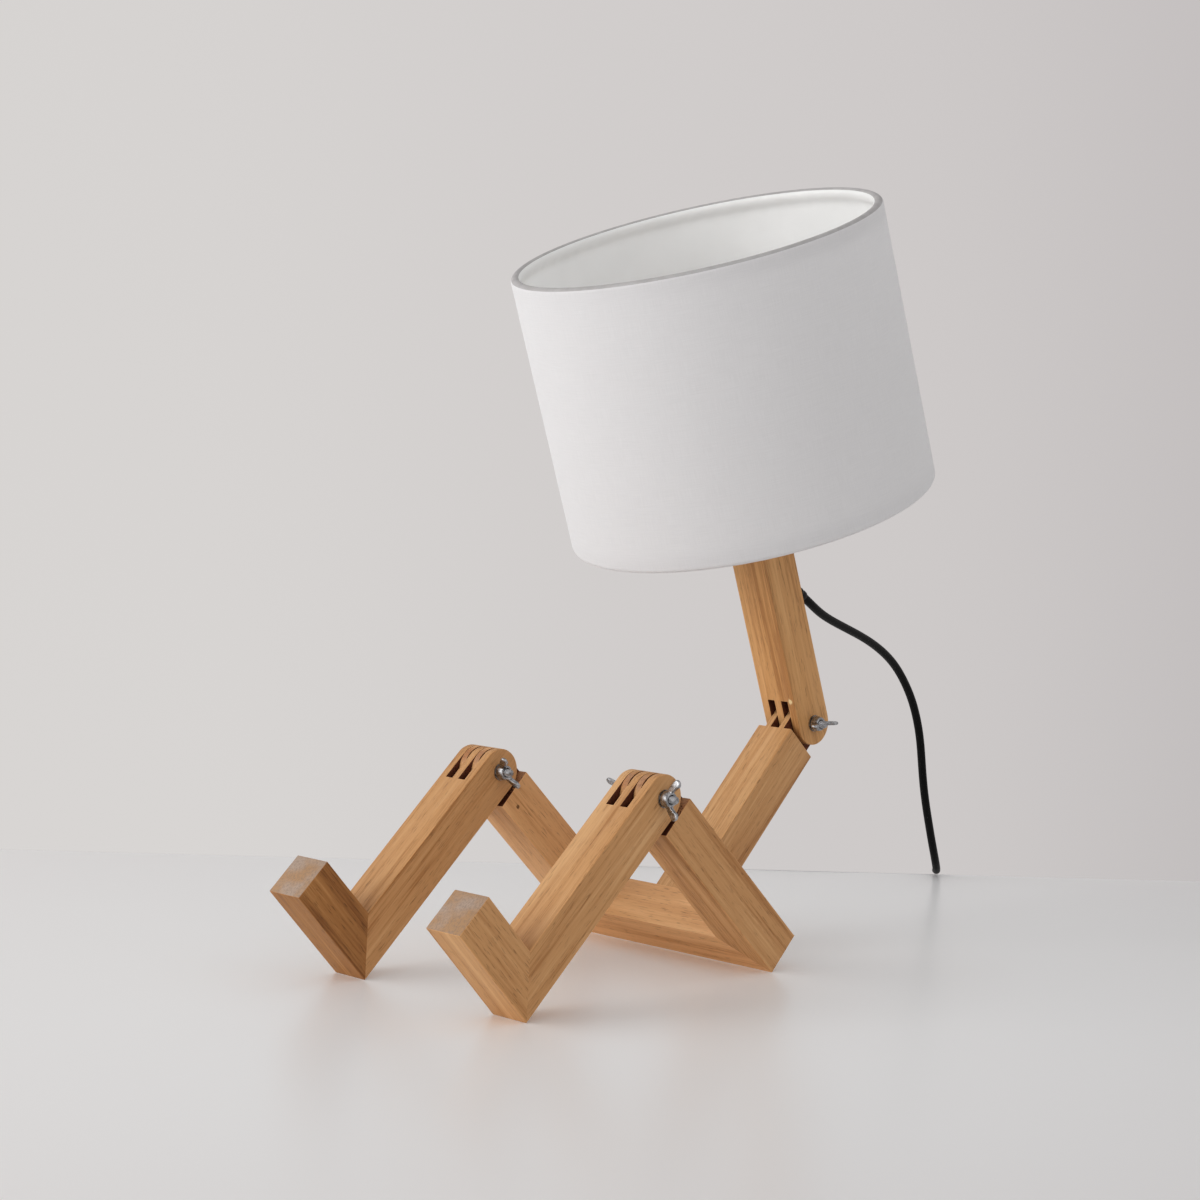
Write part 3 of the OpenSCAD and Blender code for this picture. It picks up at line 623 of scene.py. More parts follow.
# %% Place of the grain
def grain_place(f, place, axis, seed, strip):
    """The bar's own points with the grain along Z, and how much a glued strip differs in tone."""
    turn = place.to_3x3().normalized()
    order = {"X": (1, 2, 0), "Y": (2, 0, 1), "Z": (0, 1, 2)}[axis]
    turn = Matrix([turn.col[k] for k in order])
    here = f.add("Mapping", {0: f.place(), 1: -(turn @ place.translation), 2: turn.to_euler()})
    apart, strip_shift = (seed * 3.17, seed * 1.31, seed * 0.73), 0.0
    if strip:
        across = f.math("ADD", f.add("SeparateXYZ", {0: here}).node.outputs[0], 0.5 + seed * 0.0017)
        number = f.math("FLOOR", f.math("DIVIDE", across, strip))
        strip_tone = f.add("TexWhiteNoise", {"W": number}, noise_dimensions="1D")
        strip_shift = f.math("MULTIPLY", f.math("SUBTRACT", strip_tone, 0.5), 0.16)
        apart = f.add("CombineXYZ", {0: f.math("MULTIPLY", strip_tone, 3.7), 1: apart[1], 2: apart[2]})
    return turn, f.vector("ADD", here, apart), strip_shift


print("the thighs' grain runs along", [round(c, 2) for c in hip_place.to_3x3().normalized().col[1]])

# %% [markdown]
# Planed faces show the grain as long marks, and cut ends show it as dots on a stained ground. Each
# has a helper of its own.

# %% Side grain and end grain
PORES = (1500, 1500, 130)


def side_grain(f, where, strip_shift, pale, warm, dark):
    """The colour of the planed faces, and the lines and pores that it is made of."""
    broad = f.noise(where, 1, 2, 0.5, (60, 48, 4))
    bands = f.noise(where, 1, 3, 0.55, (250, 200, 9))
    lines = f.noise(where, 1, 4, 0.62, (900, 800, 24))
    tone = f.math("ADD", f.math("MULTIPLY", broad, 0.55), f.math("MULTIPLY", bands, 0.6))
    tone = f.math("ADD", f.math("ADD", tone, f.math("MULTIPLY", lines, 0.5)), strip_shift)
    side = f.ramp(f.span(tone, 0.60, 1.05), (0.05, dark), (0.5, warm),
                  (0.95, pale))
    pores = f.span(f.noise(where, 1, 2, 0.5, PORES), 0.585, 0.68)
    pit = f.math("MULTIPLY", pores, f.span(bands, 0.62, 0.42, 0.25, 1.0))
    return f.mix(f.math("MULTIPLY", pit, 0.6), side, [c * 0.66 for c in dark]), lines, pit


def end_grain(f, where, end):
    """The colour of the cut ends."""
    speck = f.span(f.noise(where, 1, 4, 0.65, (1100, 700, 200)), 0.45, 0.66)
    stain = f.span(f.noise(where, 75, 3), 0.40, 0.62)
    cut = f.mix(stain, end, (end[0], end[1] * 0.90, end[2] * 0.74))
    return f.mix(f.math("MULTIPLY", speck, 0.6), cut, [c * 0.74 for c in end])


print("pores:", round(1000 / PORES[0], 1), "mm across and", round(1000 / PORES[2], 1), "mm long")

# %% [markdown]
# The finish takes the side or the end colour by the way that a face looks, and lays the marks over
# it. The varnish is a little glossier on the dark lines.

# %% Finish of the wood
def marked(f, colour, marks, place, lines, on_end):
    """The colour with its marks, each (spot, radius in mm, shade, whether only on a cut end)."""
    for spot, radius, shade, only_end in marks:
        far = f.vector("DISTANCE", f.place(), place @ Vector(spot), "Value")
        frayed = f.math("MULTIPLY", f.math("SUBTRACT", lines, 0.5), radius * 0.004)
        edge = f.span(f.math("ADD", far, frayed), radius * 0.0006, radius * 0.001, 1.0, 0.0)
        if only_end:
            edge = f.math("MULTIPLY", edge, on_end)
        colour = f.mix(edge, colour, shade)
    return colour


def wood(name, place, axis, seed, pale, warm, dark, strip=0.0, end=(178, 130, 94), marks=()):
    """A wood finish along one axis of a place. strip is the width of its glued strips."""
    f = Finish(name)
    turn, where, strip_shift = grain_place(f, place, axis, seed, strip)
    side, lines, pit = side_grain(f, where, strip_shift, pale, warm, dark)
    facing = f.vector("DOT_PRODUCT", f.add("TexCoord").node.outputs["Normal"], turn.row[2], "Value")
    on_end = f.span(f.math("ABSOLUTE", facing), 0.86, 0.97)
    colour = f.mix(on_end, side, end_grain(f, where, end))
    height = f.math("SUBTRACT", f.math("MULTIPLY", lines, 0.4), f.math("MULTIPLY", pit, 0.6))
    return f.done(Base_Color=marked(f, colour, marks, place, lines, on_end),
                  Roughness=f.span(lines, 0.3, 0.7, 0.44, 0.6), Specular_IOR_Level=0.22,
                  Normal=f.bump(height, 0.00012, 0.7))


fuzz = (700, 4, 0.65)
# painted shade: the dark tone of the slots' faces stands for the shade deep inside the finger joints
sawn_and_shaded = mottled("sawn_wood_painted_shade", (74, 36, 22), (112, 62, 38), fuzz, 0.85, (fuzz, 0.0002, 0.6),
               (0.3, 0.75), Specular_IOR_Level=0.2)
print("finish inside the saw slots:", sawn_and_shaded.name)

# %% [markdown]
# A planed bar has its edges eased with a pass of sandpaper, while the edges of a glued mitre stay
# sharp, because the joint was closed before sanding. So each bar is copied from its solid, its
# small triangles are merged back into flat faces, and only the free outer edges are rounded; the
# rounded faces take tones a little paler than the flat ones. The saw leaves the slots between the
# fingers rough, and no varnish gets in, so the faces that look into a slot take a finish of their own,
# whose dark tone is painted shade, for the shade deep inside the joint.

# %% Timber
def timber(name, place, body, looks, stays_sharp, slots, round_by=0.5):
    """A copy of a bar's solid with its free edges eased and paler, and its slots painted dark as shade."""
    source = frame["nodes"][name].data
    bm = bmesh.new()
    bm.from_mesh(source)
    bmesh.ops.remove_doubles(bm, verts=bm.verts, dist=1e-6)
    bmesh.ops.dissolve_limit(bm, angle_limit=radians(0.5), verts=bm.verts, edges=bm.edges)
    home = place.inverted()
    free_edges = []
    for edge in bm.edges:
        if (len(edge.link_faces) != 2 or not edge.is_convex
                or edge.calc_face_angle(0) < radians(40)):
            continue
        a, b = (home @ v.co for v in edge.verts)
        if not (stays_sharp(a) and stays_sharp(b)):
            free_edges.append(edge)
    bmesh.ops.bevel(bm, geom=free_edges, offset=round_by / 1000, offset_type="OFFSET", segments=2,
                    profile=0.55, affect="EDGES", clamp_overlap=True, miter_outer="SHARP", material=2)
    turn = home.to_3x3().normalized()
    for face in bm.faces:
        # faces that look into a slot take the sawn finish, whose dark tone is painted shade
        if slots and in_slot(home @ face.calc_center_median(), turn @ face.normal, slots):
            face.material_index = 1
    mesh = bpy.data.meshes.new(name + "_wood")
    bm.to_mesh(mesh)
    bm.free()
    for look in looks:
        mesh.materials.append(look)
    smoothed(mesh, 28)
    placed(name + "_wood", mesh, body, [name])


print("edges are eased by", timber.__defaults__[0], "mm")

# %% [markdown]
# These tests say where a point or a face lies on a bar. A glued mitre and the rim of a bore stay
# sharp, and the faces inside a finger joint are sawn.

# %% Joints of the bars
THIGH, TORSO = 126, 151


def in_slot(p, normal, slots):
    """Whether a face looks into one of the saw slots of a finger joint. slots gives its axis."""
    middle, y, z, axis = slots
    inside = abs(p.x - middle) < HALF - 0.8 and hypot(p.y - y, p.z - z) < 32
    along = abs((p.y - y) if axis == "Y" else (p.z - z))
    end_on = abs(normal.y if axis == "Y" else normal.z)
    deep = end_on > 0.9 and along > HALF + 0.4 and abs(p.x - middle) < 7
    return inside and (abs(normal.x) > 0.5 or deep)


def near(value, target):
    """On a mitre's plane, within what the solids round to."""
    return abs(value - target) < 0.06


def on_axis(p, y=0, z=0):
    """Close to the bore of a finger joint."""
    return hypot(p.y - y, p.z - z) < 3


def hip_joint(p):
    """The mitres between the crossbar and the thighs."""
    return near(abs(p.x) - HIP_W / 2, p.y)


def thigh_joints(p):
    """The mitre at the hips and the bore of the knee."""
    return hip_joint(p) or on_axis(p, -THIGH, HALF)


def torso_joints(p):
    """The foot on the crossbar and the bore of the waist."""
    return near(p.z, BAR) or on_axis(p, -HALF, TORSO)


def neck_joints(p):
    """The bore, and the hole that the lead comes out of."""
    return on_axis(p) or 60 < p.z < 95 and p.y > 11 and abs(p.x) < 8


def heel(p):
    """The mitre between a shin and its foot."""
    return near(p.y + SHIN - HALF, p.z)


def shin_joints(p):
    """The mitre at the heel and the bore of the knee."""
    return heel(p) or on_axis(p)


print("the knee's bore is", hypot(THIGH, HALF), "mm from the hips' corner")

# %% [markdown]
# The boards that the bars were cut from differ: one foot is ruddier, and the neck is glued up from
# strips. The crossbar and the left thigh take paler tones, and the neck's strips are a little paler
# too; this paleness is painted light that lifts them out of the shadows of the legs and the shade.
# The cut ends deep in each knee's joint are painted dark, as painted shade inside the joint, the left
# thigh has a small knot, and the neck has a chip of pale wood.

# %% Bars
oak = dict(pale=(214, 166, 115), warm=(198, 147, 96), dark=(169, 116, 67))
# painted light: tones paler than the oak, which lift the crossbar and the left thigh out of shadow
painted_light_oak = dict(pale=(230, 180, 128), warm=(215, 162, 110), dark=(187, 132, 80))
ruddy = dict(pale=(190, 138, 84), warm=(164, 112, 62), dark=(126, 78, 38))
# the neck's glued strips, a little paler than the oak as painted light under the shade
glued_up_painted_light = dict(pale=(221, 170, 114), warm=(207, 154, 98), dark=(175, 122, 72))
FOOT_END = (174, 150, 132)
bars = {"crossbar": (hip_place, "hips", "X", hip_joint, None, painted_light_oak, {})}
for side, s in SIDES.items():
    # painted shade: a dark spot on the cut ends deep in the knee's joint
    marks = [((s * LEG_X + 10, -111, 3), 15, (70, 34, 22), True)]
    if s < 0:
        marks.append(((s * LEG_X + HALF, -103, 7), 1.2, (112, 76, 44), False))
    bars["thigh_" + side] = (hip_place, "hips", "Y", thigh_joints, (s * LEG_X, -THIGH, HALF, "Y"),
                             painted_light_oak if s < 0 else oak, dict(marks=marks))
bars["torso"] = (hip_place, "hips", "Z", torso_joints, (0, -HALF, TORSO, "Z"), oak, {})
chip = ((9.6, -HALF, 17.5), 1.5, (232, 208, 156), False)
bars["neck"] = (head_place, "head", "Z", neck_joints, (0, 0, 0, "Z"), glued_up_painted_light,
                dict(strip=0.0085, marks=[chip]))
for side, s in SIDES.items():
    leg = (leg_place[s], "lower_leg_" + side)
    bars["shin_" + side] = (*leg, "Y", shin_joints, (0, 0, 0, "Y"), oak, {})
    bars["foot_" + side] = (*leg, "Z", heel, None, ruddy if s < 0 else oak, dict(end=FOOT_END))
for seed, (name, (place, body, axis, sharp, slots, tones, more)) in enumerate(bars.items(), 1):
    face = wood(name + "_wood", place, axis, seed, **tones, **more)
    # the rounded edges take tones 5.5 % paler than the flat faces
    edge_tones = {key: [c * 1.055 for c in tone] for key, tone in tones.items()}
    edge_wood = wood(name + "_edge", place, axis, seed, **edge_tones, **more)
    timber(name, place, body, (face, sawn_and_shaded, edge_wood), sharp, slots)
dowel_wood = wood("dowel_wood", hip_place, "X", 20, (224, 200, 160), (212, 184, 140), (190, 158, 112))
dress(dowel_wood, *[name for name in frame["nodes"] if "dowels" in name])
print("bars:", ", ".join(bars))

# %% [markdown]
# ## Wing nuts and wing screws
#
# Each joint is clamped by a zinc plated wing screw, whose head lies on one side, and a wing nut on
# the other. Both are castings: a tapered hub with two swept wings, with every corner washed soft
# by the mould. The rough shapes are simply pushed into each other and then remeshed at a quarter
# of a millimetre, which melts them into one skin as casting does. The thread is cut afterwards, so
# it stays crisp.

# %% Finish of the zinc
f = Finish("zinc")
where = f.place()
haze = f.noise(where, 420, 4, 0.6)
zinc = f.done(Base_Color=f.ramp(haze, (0.3, (128, 129, 131)), (0.75, (192, 193, 196))),
              Metallic=1.0, Roughness=f.span(haze, 0.3, 0.8, 0.2, 0.38),
              Normal=f.bump(f.noise(where, 1500, 3), 0.00004, 0.4))
print("finish of the castings:", zinc.name)

# %% [markdown]
# A wing's outline is two curves with a round tip between them. It is drawn once as a slab whose rims
# are a little smaller than its middle, and turned about the hub for the second wing.

# %% Castings
def curve(q, a, b, c):
    """The point at q on a curve that goes from a to c and is pulled towards b."""
    return tuple((1 - q) ** 2 * i + 2 * q * (1 - q) * j + q * q * k for i, j, k in zip(a, b, c))


def wing(turn):
    """One swept wing beside a hub that rises along Z, as a slab with rounded rims."""
    outline = [curve(k / 8, (2.4, 0.5), (6.4, 2.4), (9.4, 5.4)) for k in range(9)]
    outline += [polar(2.3, -38 + 190 * k / 9, 7.9, 7.1) for k in range(1, 9)]
    outline += [curve(1 - k / 8, (2.2, 4.4), (4.0, 4.6), (6.0, 8.2)) for k in range(9)]
    middle = (sum(p[0] for p in outline) / len(outline), sum(p[1] for p in outline) / len(outline))
    points = []
    for shrink, out in ((0.82, -1.0), (1, -0.55), (1, 0.55), (0.82, 1.0)):
        for y, z in outline:
            y, z = middle[0] + (y - middle[0]) * shrink, middle[1] + (z - middle[1]) * shrink
            thick = 1.25 - 0.4 * (y - 2) / 8
            points.append((out * thick, y, z))
    return moved((points, between(4, len(outline))), turned(turn, "Z"))


def fused(name, shape, grain=0.27, smooth=4):
    """The shapes melted into one skin, in the units that they were drawn in."""
    mesh = bpy.data.meshes.new(name)
    mesh.from_pydata(shape[0], [], shape[1])
    obj = placed(name, mesh)
    skin = obj.modifiers.new("skin", "REMESH")
    skin.mode, skin.voxel_size = "VOXEL", grain
    wash = obj.modifiers.new("wash", "SMOOTH")
    wash.iterations = smooth
    thin = obj.modifiers.new("thin", "DECIMATE")
    thin.ratio = 0.45
    ready = obj.evaluated_get(bpy.context.evaluated_depsgraph_get()).to_mesh()
    result = [tuple(v.co) for v in ready.vertices], [tuple(p.vertices) for p in ready.polygons]
    bpy.data.objects.remove(obj)
    return result


def hub(bored):
    """The tapered hub of a nut, or the closed one of a screw."""
    outline = [(4.2, 0), (4.3, 0.5), (4.25, 1.5), (3.9, 3.4), (3.6, 4.4), (3.2, 4.75)]
    if bored:
        return lathe([(2.25, 0), (3.9, 0)] + outline[1:] + [(2.5, 4.7), (2.2, 4.3)], 40, closed=True)
    return lathe([(0.5, 0), (3.9, 0)] + outline[1:] + [(1.5, 5.1), (0.2, 5.2)], 40)


print("outline of the open hub:", len(hub(True)[0]) // 40, "points")

# %% [markdown]
# Nuts and screws are the same two castings at all three joints, turned by hand until they held, so
# each pair of wings stands at an angle of its own.

# %% Wing nuts and wing screws
nut_shape = fused("nut", joined(hub(True), wing(0), wing(180)))
head_shape = fused("head", joined(hub(False), wing(0), wing(180)))
thread_shape = thread(2.0, 0.38, 0.7, -1.0, 8.0)
FACE = HALF + 0.8
ALONG = turned(90, "Y")
joints = {"knee_left": (knee_place[-1], "lower_leg_left", "knee_nut_left", "knee_screw_left", 124, 42),
          "knee_right": (knee_place[1], "lower_leg_right", "knee_nut_right", "knee_screw_right", 84, 135),
          "waist": (waist_place, "head", "waist_nut", "waist_screw", 2, 80)}
for name, (place, body, nut, screw, nut_turn, head_turn) in joints.items():
    def aimed(turn, flip=False):
        """Z of a casting goes along the joint's axis, and its wings lie at an angle about it."""
        way = Matrix.Scale(-1, 4, (1, 0, 0)) if flip else Matrix.Identity(4)
        return way @ turned(turn, "X") @ offset(FACE, 0, 0) @ ALONG
    piece(name + "_wing_nut", nut_shape, place @ aimed(nut_turn), nut, zinc, [nut], 60)
    shank = lathe([(1.95, -2 * FACE), (1.95, -0.9)], 24)
    piece(name + "_wing_screw", joined(moved(head_shape, aimed(head_turn, True)),
                                       moved(thread_shape, aimed(0)), moved(shank, aimed(0))),
          place, body, zinc, [screw], 60)
dress(zinc, "knee_washers_left", "knee_washers_right", "waist_washers")
print("faces on a wing nut:", len(nut_shape[1]))

# %% [markdown]
# ## Shade
#
# A drum shade is a sheet of fabric laminated on clear plastic. It is rolled into a tube, lapped
# and glued at the back, and its two ends are turned in round the wire rings and pressed down. The
# whole sheet is one closed section turned about the axis. The turned-in hem follows the wire, then
# dives to the wall, and its free edge is a little wavy because it has to shrink in.

# %% Shade
SHADE_R, SHADE_H, RIM_V, WIRE = 100.0, 153.0, 125.0, 97.4
SEAM = radians(117)


def hem(top):
    """Half of the section at one end, from the outer wall to the free edge of the hem."""
    flip = (lambda h: SHADE_H - h) if top else (lambda h: h)
    outer = [(r, flip(h)) for r, h in (polar(2.6, -a, WIRE, 2.6) for a in range(0, 181, 15))]
    outer += [(94.9, flip(3.5)), (95.4, flip(4.7)), (96.3, flip(5.9)), (97.4, flip(7.0))]
    inner = [(98.3, flip(8.1)), (98.9, flip(9.4)), (99.1, flip(11.5))]
    return outer + inner


bottom, top = hem(False), hem(True)
section = [(SHADE_R, SHADE_H * k / 12) for k in range(1, 12)] + top
section += [(99.1, SHADE_H * k / 12) for k in range(10, 1, -1)] + bottom[::-1]
print("shade section points:", len(section))

# %% [markdown]
# A shade made by hand is not a perfect drum. The lap stands proud at the back, and the wall is a
# breath slack between the rings.

# %% Faults of the shade

def drape(angle, radius, height):
    """The small faults of a hand-made shade: a lapped seam, a wavy hem and a breath of slackness."""
    off = (angle - SEAM + pi) % (2 * pi) - pi
    if radius > 99.5:
        slack = 0.06 * sin(pi * height / SHADE_H) * (0.5 + 0.5 * sin(7 * angle))
        radius += 0.38 * (1 if abs(off) < 0.052 else 0) - slack
    elif radius < 98.5:
        wavy = sin(61 * angle) * 0.5 + sin(103 * angle + 1) * 0.35
        radius += 0.14 * wavy * min(1, max(0, radius - 94.7) / 2)
        height += 0.16 * wavy * (1 if 4 < height < SHADE_H - 4 else 0)
    return radius, height


print("the lap stands proud by", round(drape(SEAM, SHADE_R, 0)[0] - SHADE_R, 2), "mm")

# %% [markdown]
# The fabric is a plain weave. Its finish is drawn in the sheet's own flat millimetres, so that the
# threads run round and up the drum: two sets of thread lines, and slubs where a thread is thicker.

# %% Finish of the fabric
f = Finish("shade_fabric")
flat = f.add("TexCoord").node.outputs["UV"]
split = f.add("SeparateXYZ", {0: flat}).node.outputs
slubs = f.math("ADD", f.noise(flat, 1, 3, 0.6, (2.6, 0.09, 1)), f.noise(flat, 1, 3, 0.6, (0.07, 2.2, 1)))
warp, weft = (f.math("SINE", f.math("MULTIPLY", split[k], 2 * pi / apart))
              for k, apart in enumerate((0.46, 0.50)))
cloth = f.math("ADD", f.math("MULTIPLY", f.math("MULTIPLY", warp, weft), 0.4), slubs)
tone = f.ramp(f.span(slubs, 0.7, 1.3), (0.0, (218, 217, 218)), (1.0, (223, 222, 223)))
glow = dict(Subsurface_Weight=0.5, Subsurface_Radius=(1.0, 1.0, 1.0), Subsurface_Scale=0.002)
fabric = f.done(Base_Color=tone, Roughness=0.86, Specular_IOR_Level=0.25, Sheen_Weight=0.08,
                Sheen_Roughness=0.5, Normal=f.bump(cloth, 0.00008, 0.4), **glow)
print("finish of the shade:", fabric.name)

# %% [markdown]
# The section is turned into the drum, and every corner of its faces gets its place on the flat
# sheet: how far round it is, and how far along the section.

# %% Drum of the shade
STEPS = 360
shade = piece("drum_shade", lathe(section, STEPS, True, drape), head_place @ offset(0, 0, RIM_V),
              "head", fabric, ["shade_skin"], 50)
around = shade.data.uv_layers.new(name="cloth")
rows = len(section)
reach = np.cumsum([0] + [dist(section[i], section[(i + 1) % rows]) for i in range(rows)])
for poly in shade.data.polygons:
    cols = [v % STEPS for v in poly.vertices]
    lines = [v // STEPS for v in poly.vertices]
    for loop, c, r in zip(poly.loop_indices, cols, lines):
        c = c + STEPS if c == 0 and max(cols) == STEPS - 1 else c
        v = reach[rows] if r == 0 and max(lines) == rows - 1 else reach[r]
        around.data[loop].uv = (c / STEPS * 2 * pi * 100, v)
print("faces on the shade:", len(shade.data.polygons))

# %% [markdown]
# Where the fabric folds over the wire at the top rim, the faces on the crest of that fold take a
# greyer finish: a narrow line of painted shade, as the rim's top gets less light than the wall. The
# inside shows the paler plastic that the fabric is laminated on.

# %% Folds of the shade
shaded_fold = mottled("fold_painted_shade", (172, 169, 169), (184, 181, 181), (160, 3), 0.8,
                ((2200, 2), 0.00008, 0.4), Specular_IOR_Level=0.25)
lining = mottled("shade_lining", (240, 240, 239), (245, 245, 244), (30, 3), 0.55,
                 ((700, 2), 0.00008, 0.3), **glow)
for look in (shaded_fold, lining):
    shade.data.materials.append(look)
for poly in shade.data.polygons:
    radius, height = np.mean([section[v // STEPS] for v in poly.vertices], axis=0)
    # painted shade on the crest of the top fold
    if 95.4 < radius < 99.75 and SHADE_H - height < 1.5:
        poly.material_index = 1
    elif radius < 99.3 and (radius < 96 or 4 < height < SHADE_H - 1.5):
        poly.material_index = 2
print("finishes on the shade:", [m.name for m in shade.data.materials])

# %% [markdown]
# The wire frame is powder coated white. Its lower ring has three spokes that rise to the ring
# which fits the lampholder.

# %% Frame of the shade
enamel = mottled("white_enamel", (226, 226, 224), (236, 236, 235), (60, 3), 0.36,
                 ((900, 2), 0.00006, 0.5))
dress(enamel, "shade_frame_lower", "shade_frame_upper")
print("finish of the frame:", enamel.name)

# %% [markdown]
# ## Lampholder and bulb
#
# Under the shade a white moulded lampholder stands on a threaded brass tube in the neck. The shade
# drops over its thread and a ribbed ring nut clamps it. Inside sit a ceramic disc and a brass
# screw shell, and an opal bulb is screwed into them.

# %% Finishes of the lampholder
moulding = mottled("white_moulding", (220, 219, 215), (228, 227, 224), (40, 3), 0.32,
                   ((1800, 2), 0.00003, 0.4))
brass = mottled("brass", (176, 142, 84), (212, 178, 112), (200, 4), ((500, 3), 0.24, 0.42),
                Metallic=1.0)
ceramic = mottled("ceramic", (216, 210, 198), (230, 226, 216), (300, 3), 0.3, Coat_Weight=0.3,
                  Coat_Roughness=0.12)
opal = mottled("opal_glass", (232, 231, 228), (240, 239, 237), (12, 2), 0.14,
               Subsurface_Weight=0.25, Subsurface_Radius=(0.004, 0.004, 0.004), Subsurface_Scale=1.0)
nickel = mottled("bulb_metal", (192, 190, 185), (208, 206, 201), (250, 4), ((700, 3), 0.24, 0.32),
                 Metallic=1.0)
print("finishes of the lampholder:", [m.name for m in (moulding, brass, ceramic, opal, nickel)])

# %% [markdown]
# The holder's parts are all round, so each is an outline turned about the axis. The sleeve's thread
# and the nut's ribs are made by a wave that moves the outline in and out on its way round.

# %% Lampholder
arc = [polar(8.5, a, 11, 9.9) for a in range(-72, 1, 8)]
cap = [(5.1, 0.02), (10.4, 0.02), (10.9, 0.3), (11.2, 0.9), *arc, (19.5, 13.6), (19.2, 13.8),
       (19.2, 14.2), (19.5, 14.4), (19.5, 16), (17.5, 16), (17.5, 10), (14, 4), (10, 2.5),
       (5.1, 2.5)]


def sleeve_thread(angle, radius, height):
    """A round thread on the sleeve above its flange."""
    if radius > 19.4 and height > 9.6:
        wave = 0.5 + 0.5 * cos(2 * pi * (height / 2.5 - angle / (2 * pi)))
        radius -= 0.75 * wave * min(1, (height - 9.6) / 1.2)
    return radius, height


sleeve = [(19.5, 0), (19.5, 5.2), (19.9, 5.5), (23.7, 5.5), (24, 5.8), (24, 7.7), (23.7, 8),
          (19.9, 8), (19.5, 8.3)] + [(19.5, 8.6 + 0.3 * k) for k in range(111)]
sleeve += [(19.3, 41.95), (17.8, 42), (17.5, 41.7), (17.5, 0)]


def ribs(angle, radius, height):
    """Twelve finger ribs on the ring nut."""
    if radius > 25 and height > 2.4:
        radius += 1.5 * max(0, cos(12 * angle)) ** 3
    return radius, height


ring = [(19.6, 0), (26.6, 0), (27, 0.4), (27, 2.2), (26.6, 2.6), (25.5, 2.9), (25.4, 4), (25.3, 6),
        (25.1, 7.4), (24.4, 7.9), (23.5, 8), (20.3, 8), (19.6, 7.4)]
for name, shape, height, node in (
        ("lampholder_cap", lathe(cap, 72, True), 115, "holder_cap"),
        ("lampholder_sleeve", lathe(sleeve, 72, True, sleeve_thread), 131, "holder_sleeve"),
        ("shade_ring_nut", lathe(ring, 144, True, ribs), 140.6, "clamp_ring")):
    piece(name, shape, head_place @ offset(0, 0, height), "head", moulding, [node], 40)
dress(ceramic, "holder_insert")
dress(brass, "holder_contacts", "nipple", "nipple_nut")
print("points round the ring nut:", len(ring), "x 144")

# %% [markdown]
# The bulb is a globe of opal glass on a screw cap. A smooth step joins the cap's width to the globe,
# as the glass is blown.

# %% Bulb
bulb_place = head_place @ offset(0, 0, 138)
GLOBE_R, BULB_H, CAP_R, CAP_H = 30, 107, 13.1, 24


def cap_thread(angle, radius, height):
    """The coarse round thread of a bulb's cap."""
    if radius > 12 and 3.4 < height < 19.5:
        wave = 0.5 + 0.5 * cos(2 * pi * (height / 3.62 - angle / (2 * pi)))
        radius -= 1.05 * wave
    return radius, height


cap = [(0.4, 0.02), (3.4, 0.05), (4.4, 0.4), (4.5, 0.9), (9.5, 2.6), (11.4, 3.2), (12.4, 3.5)]
cap += [(13.05, 3.8 + 0.3 * k) for k in range(54)]
cap += [(12.6, 20.2), (12.9, 21.5), (13.1, 22), (13.1, 24.6), (11, 24.6), (0.4, 24.6)]
piece("bulb_cap_shell", lathe(cap, 64, False, cap_thread), bulb_place, "head", nickel,
      ["bulb_cap"], 50)
globe = [polar(GLOBE_R, a, 0, BULB_H - GLOBE_R) for a in range(-28, 90, 5)]
glass = [(11.5, 23.5), (12.7, CAP_H)]
for k in range(1, 12):
    q = k / 12
    glass.append((CAP_R + (globe[0][0] - CAP_R) * q * q * (3 - 2 * q), CAP_H + q * (globe[0][1] - CAP_H)))
glass += globe + [(0.3, BULB_H)]
piece("bulb_glass_globe", lathe(glass, 72), bulb_place, "head", opal, ["bulb_glass"], 60)
print("the bulb is", 2 * GLOBE_R, "mm across and", BULB_H, "mm long")

# %% [markdown]
# ## Fittings of the lead
#
# Where the lead leaves the neck, the switch and the plug, a soft tapered sleeve keeps it from
# kinking. Rings are moulded into each sleeve, so that it bends evenly. The switch is two
# shells with a rocker between them, and the plug is a flat generic two-pin one, whose pins are
# half sleeved in plastic.

# %% Strain relief in the neck
spark = (1500, 3, 0.6)
black = mottled("black_moulding", (10, 10, 10), (18, 18, 19), (120, 3), (spark, 0.4, 0.56),
                (spark, 0.00006, 0.6), (0.3, 0.75), Specular_IOR_Level=0.25)


def sleeve_outline(length, root, tip, rings=6):
    """A tapered sleeve with moulded rings, closed round the lead."""
    outline = [(root, 0)]
    for k in range(rings * 6 + 1):
        q = k / (rings * 6)
        height = 1.5 + (length - 3.5) * q
        r = root + (tip - root) * height / length
        groove = 0.42 * (0.5 - 0.5 * cos(2 * pi * rings * q)) * (1 if 0.02 < q < 0.98 else 0)
        outline.append((r - groove, height))
    return outline + [(tip, length - 0.5), (tip - 0.3, length), (2.42, length), (2.42, 0)]


sleeve = [(2.42, -9), (3.95, -9)] + sleeve_outline(20, 3.95, 2.9)[:-1]
piece("neck_strain_relief", lathe(sleeve, 32, True), exit_place, "head", black,
      ["cord_relief"], 50)
dress(black_pvc, "neck_lead")
print("points along the sleeve:", len(sleeve))

# %% [markdown]
# The switch is moulded in two shells. Their outer corners are eased so that they come out of the
# mould, and both edges at the parting line are broken, so that a small mismatch doesn't show.

# %% Shells of the switch
switch_place = store_place @ offset(RUN_X, 87, 0)
SWITCH_W, SWITCH_L, SWITCH_CORNER, SWITCH_H, CROWN_R = 24, 58, 8, 15, 60


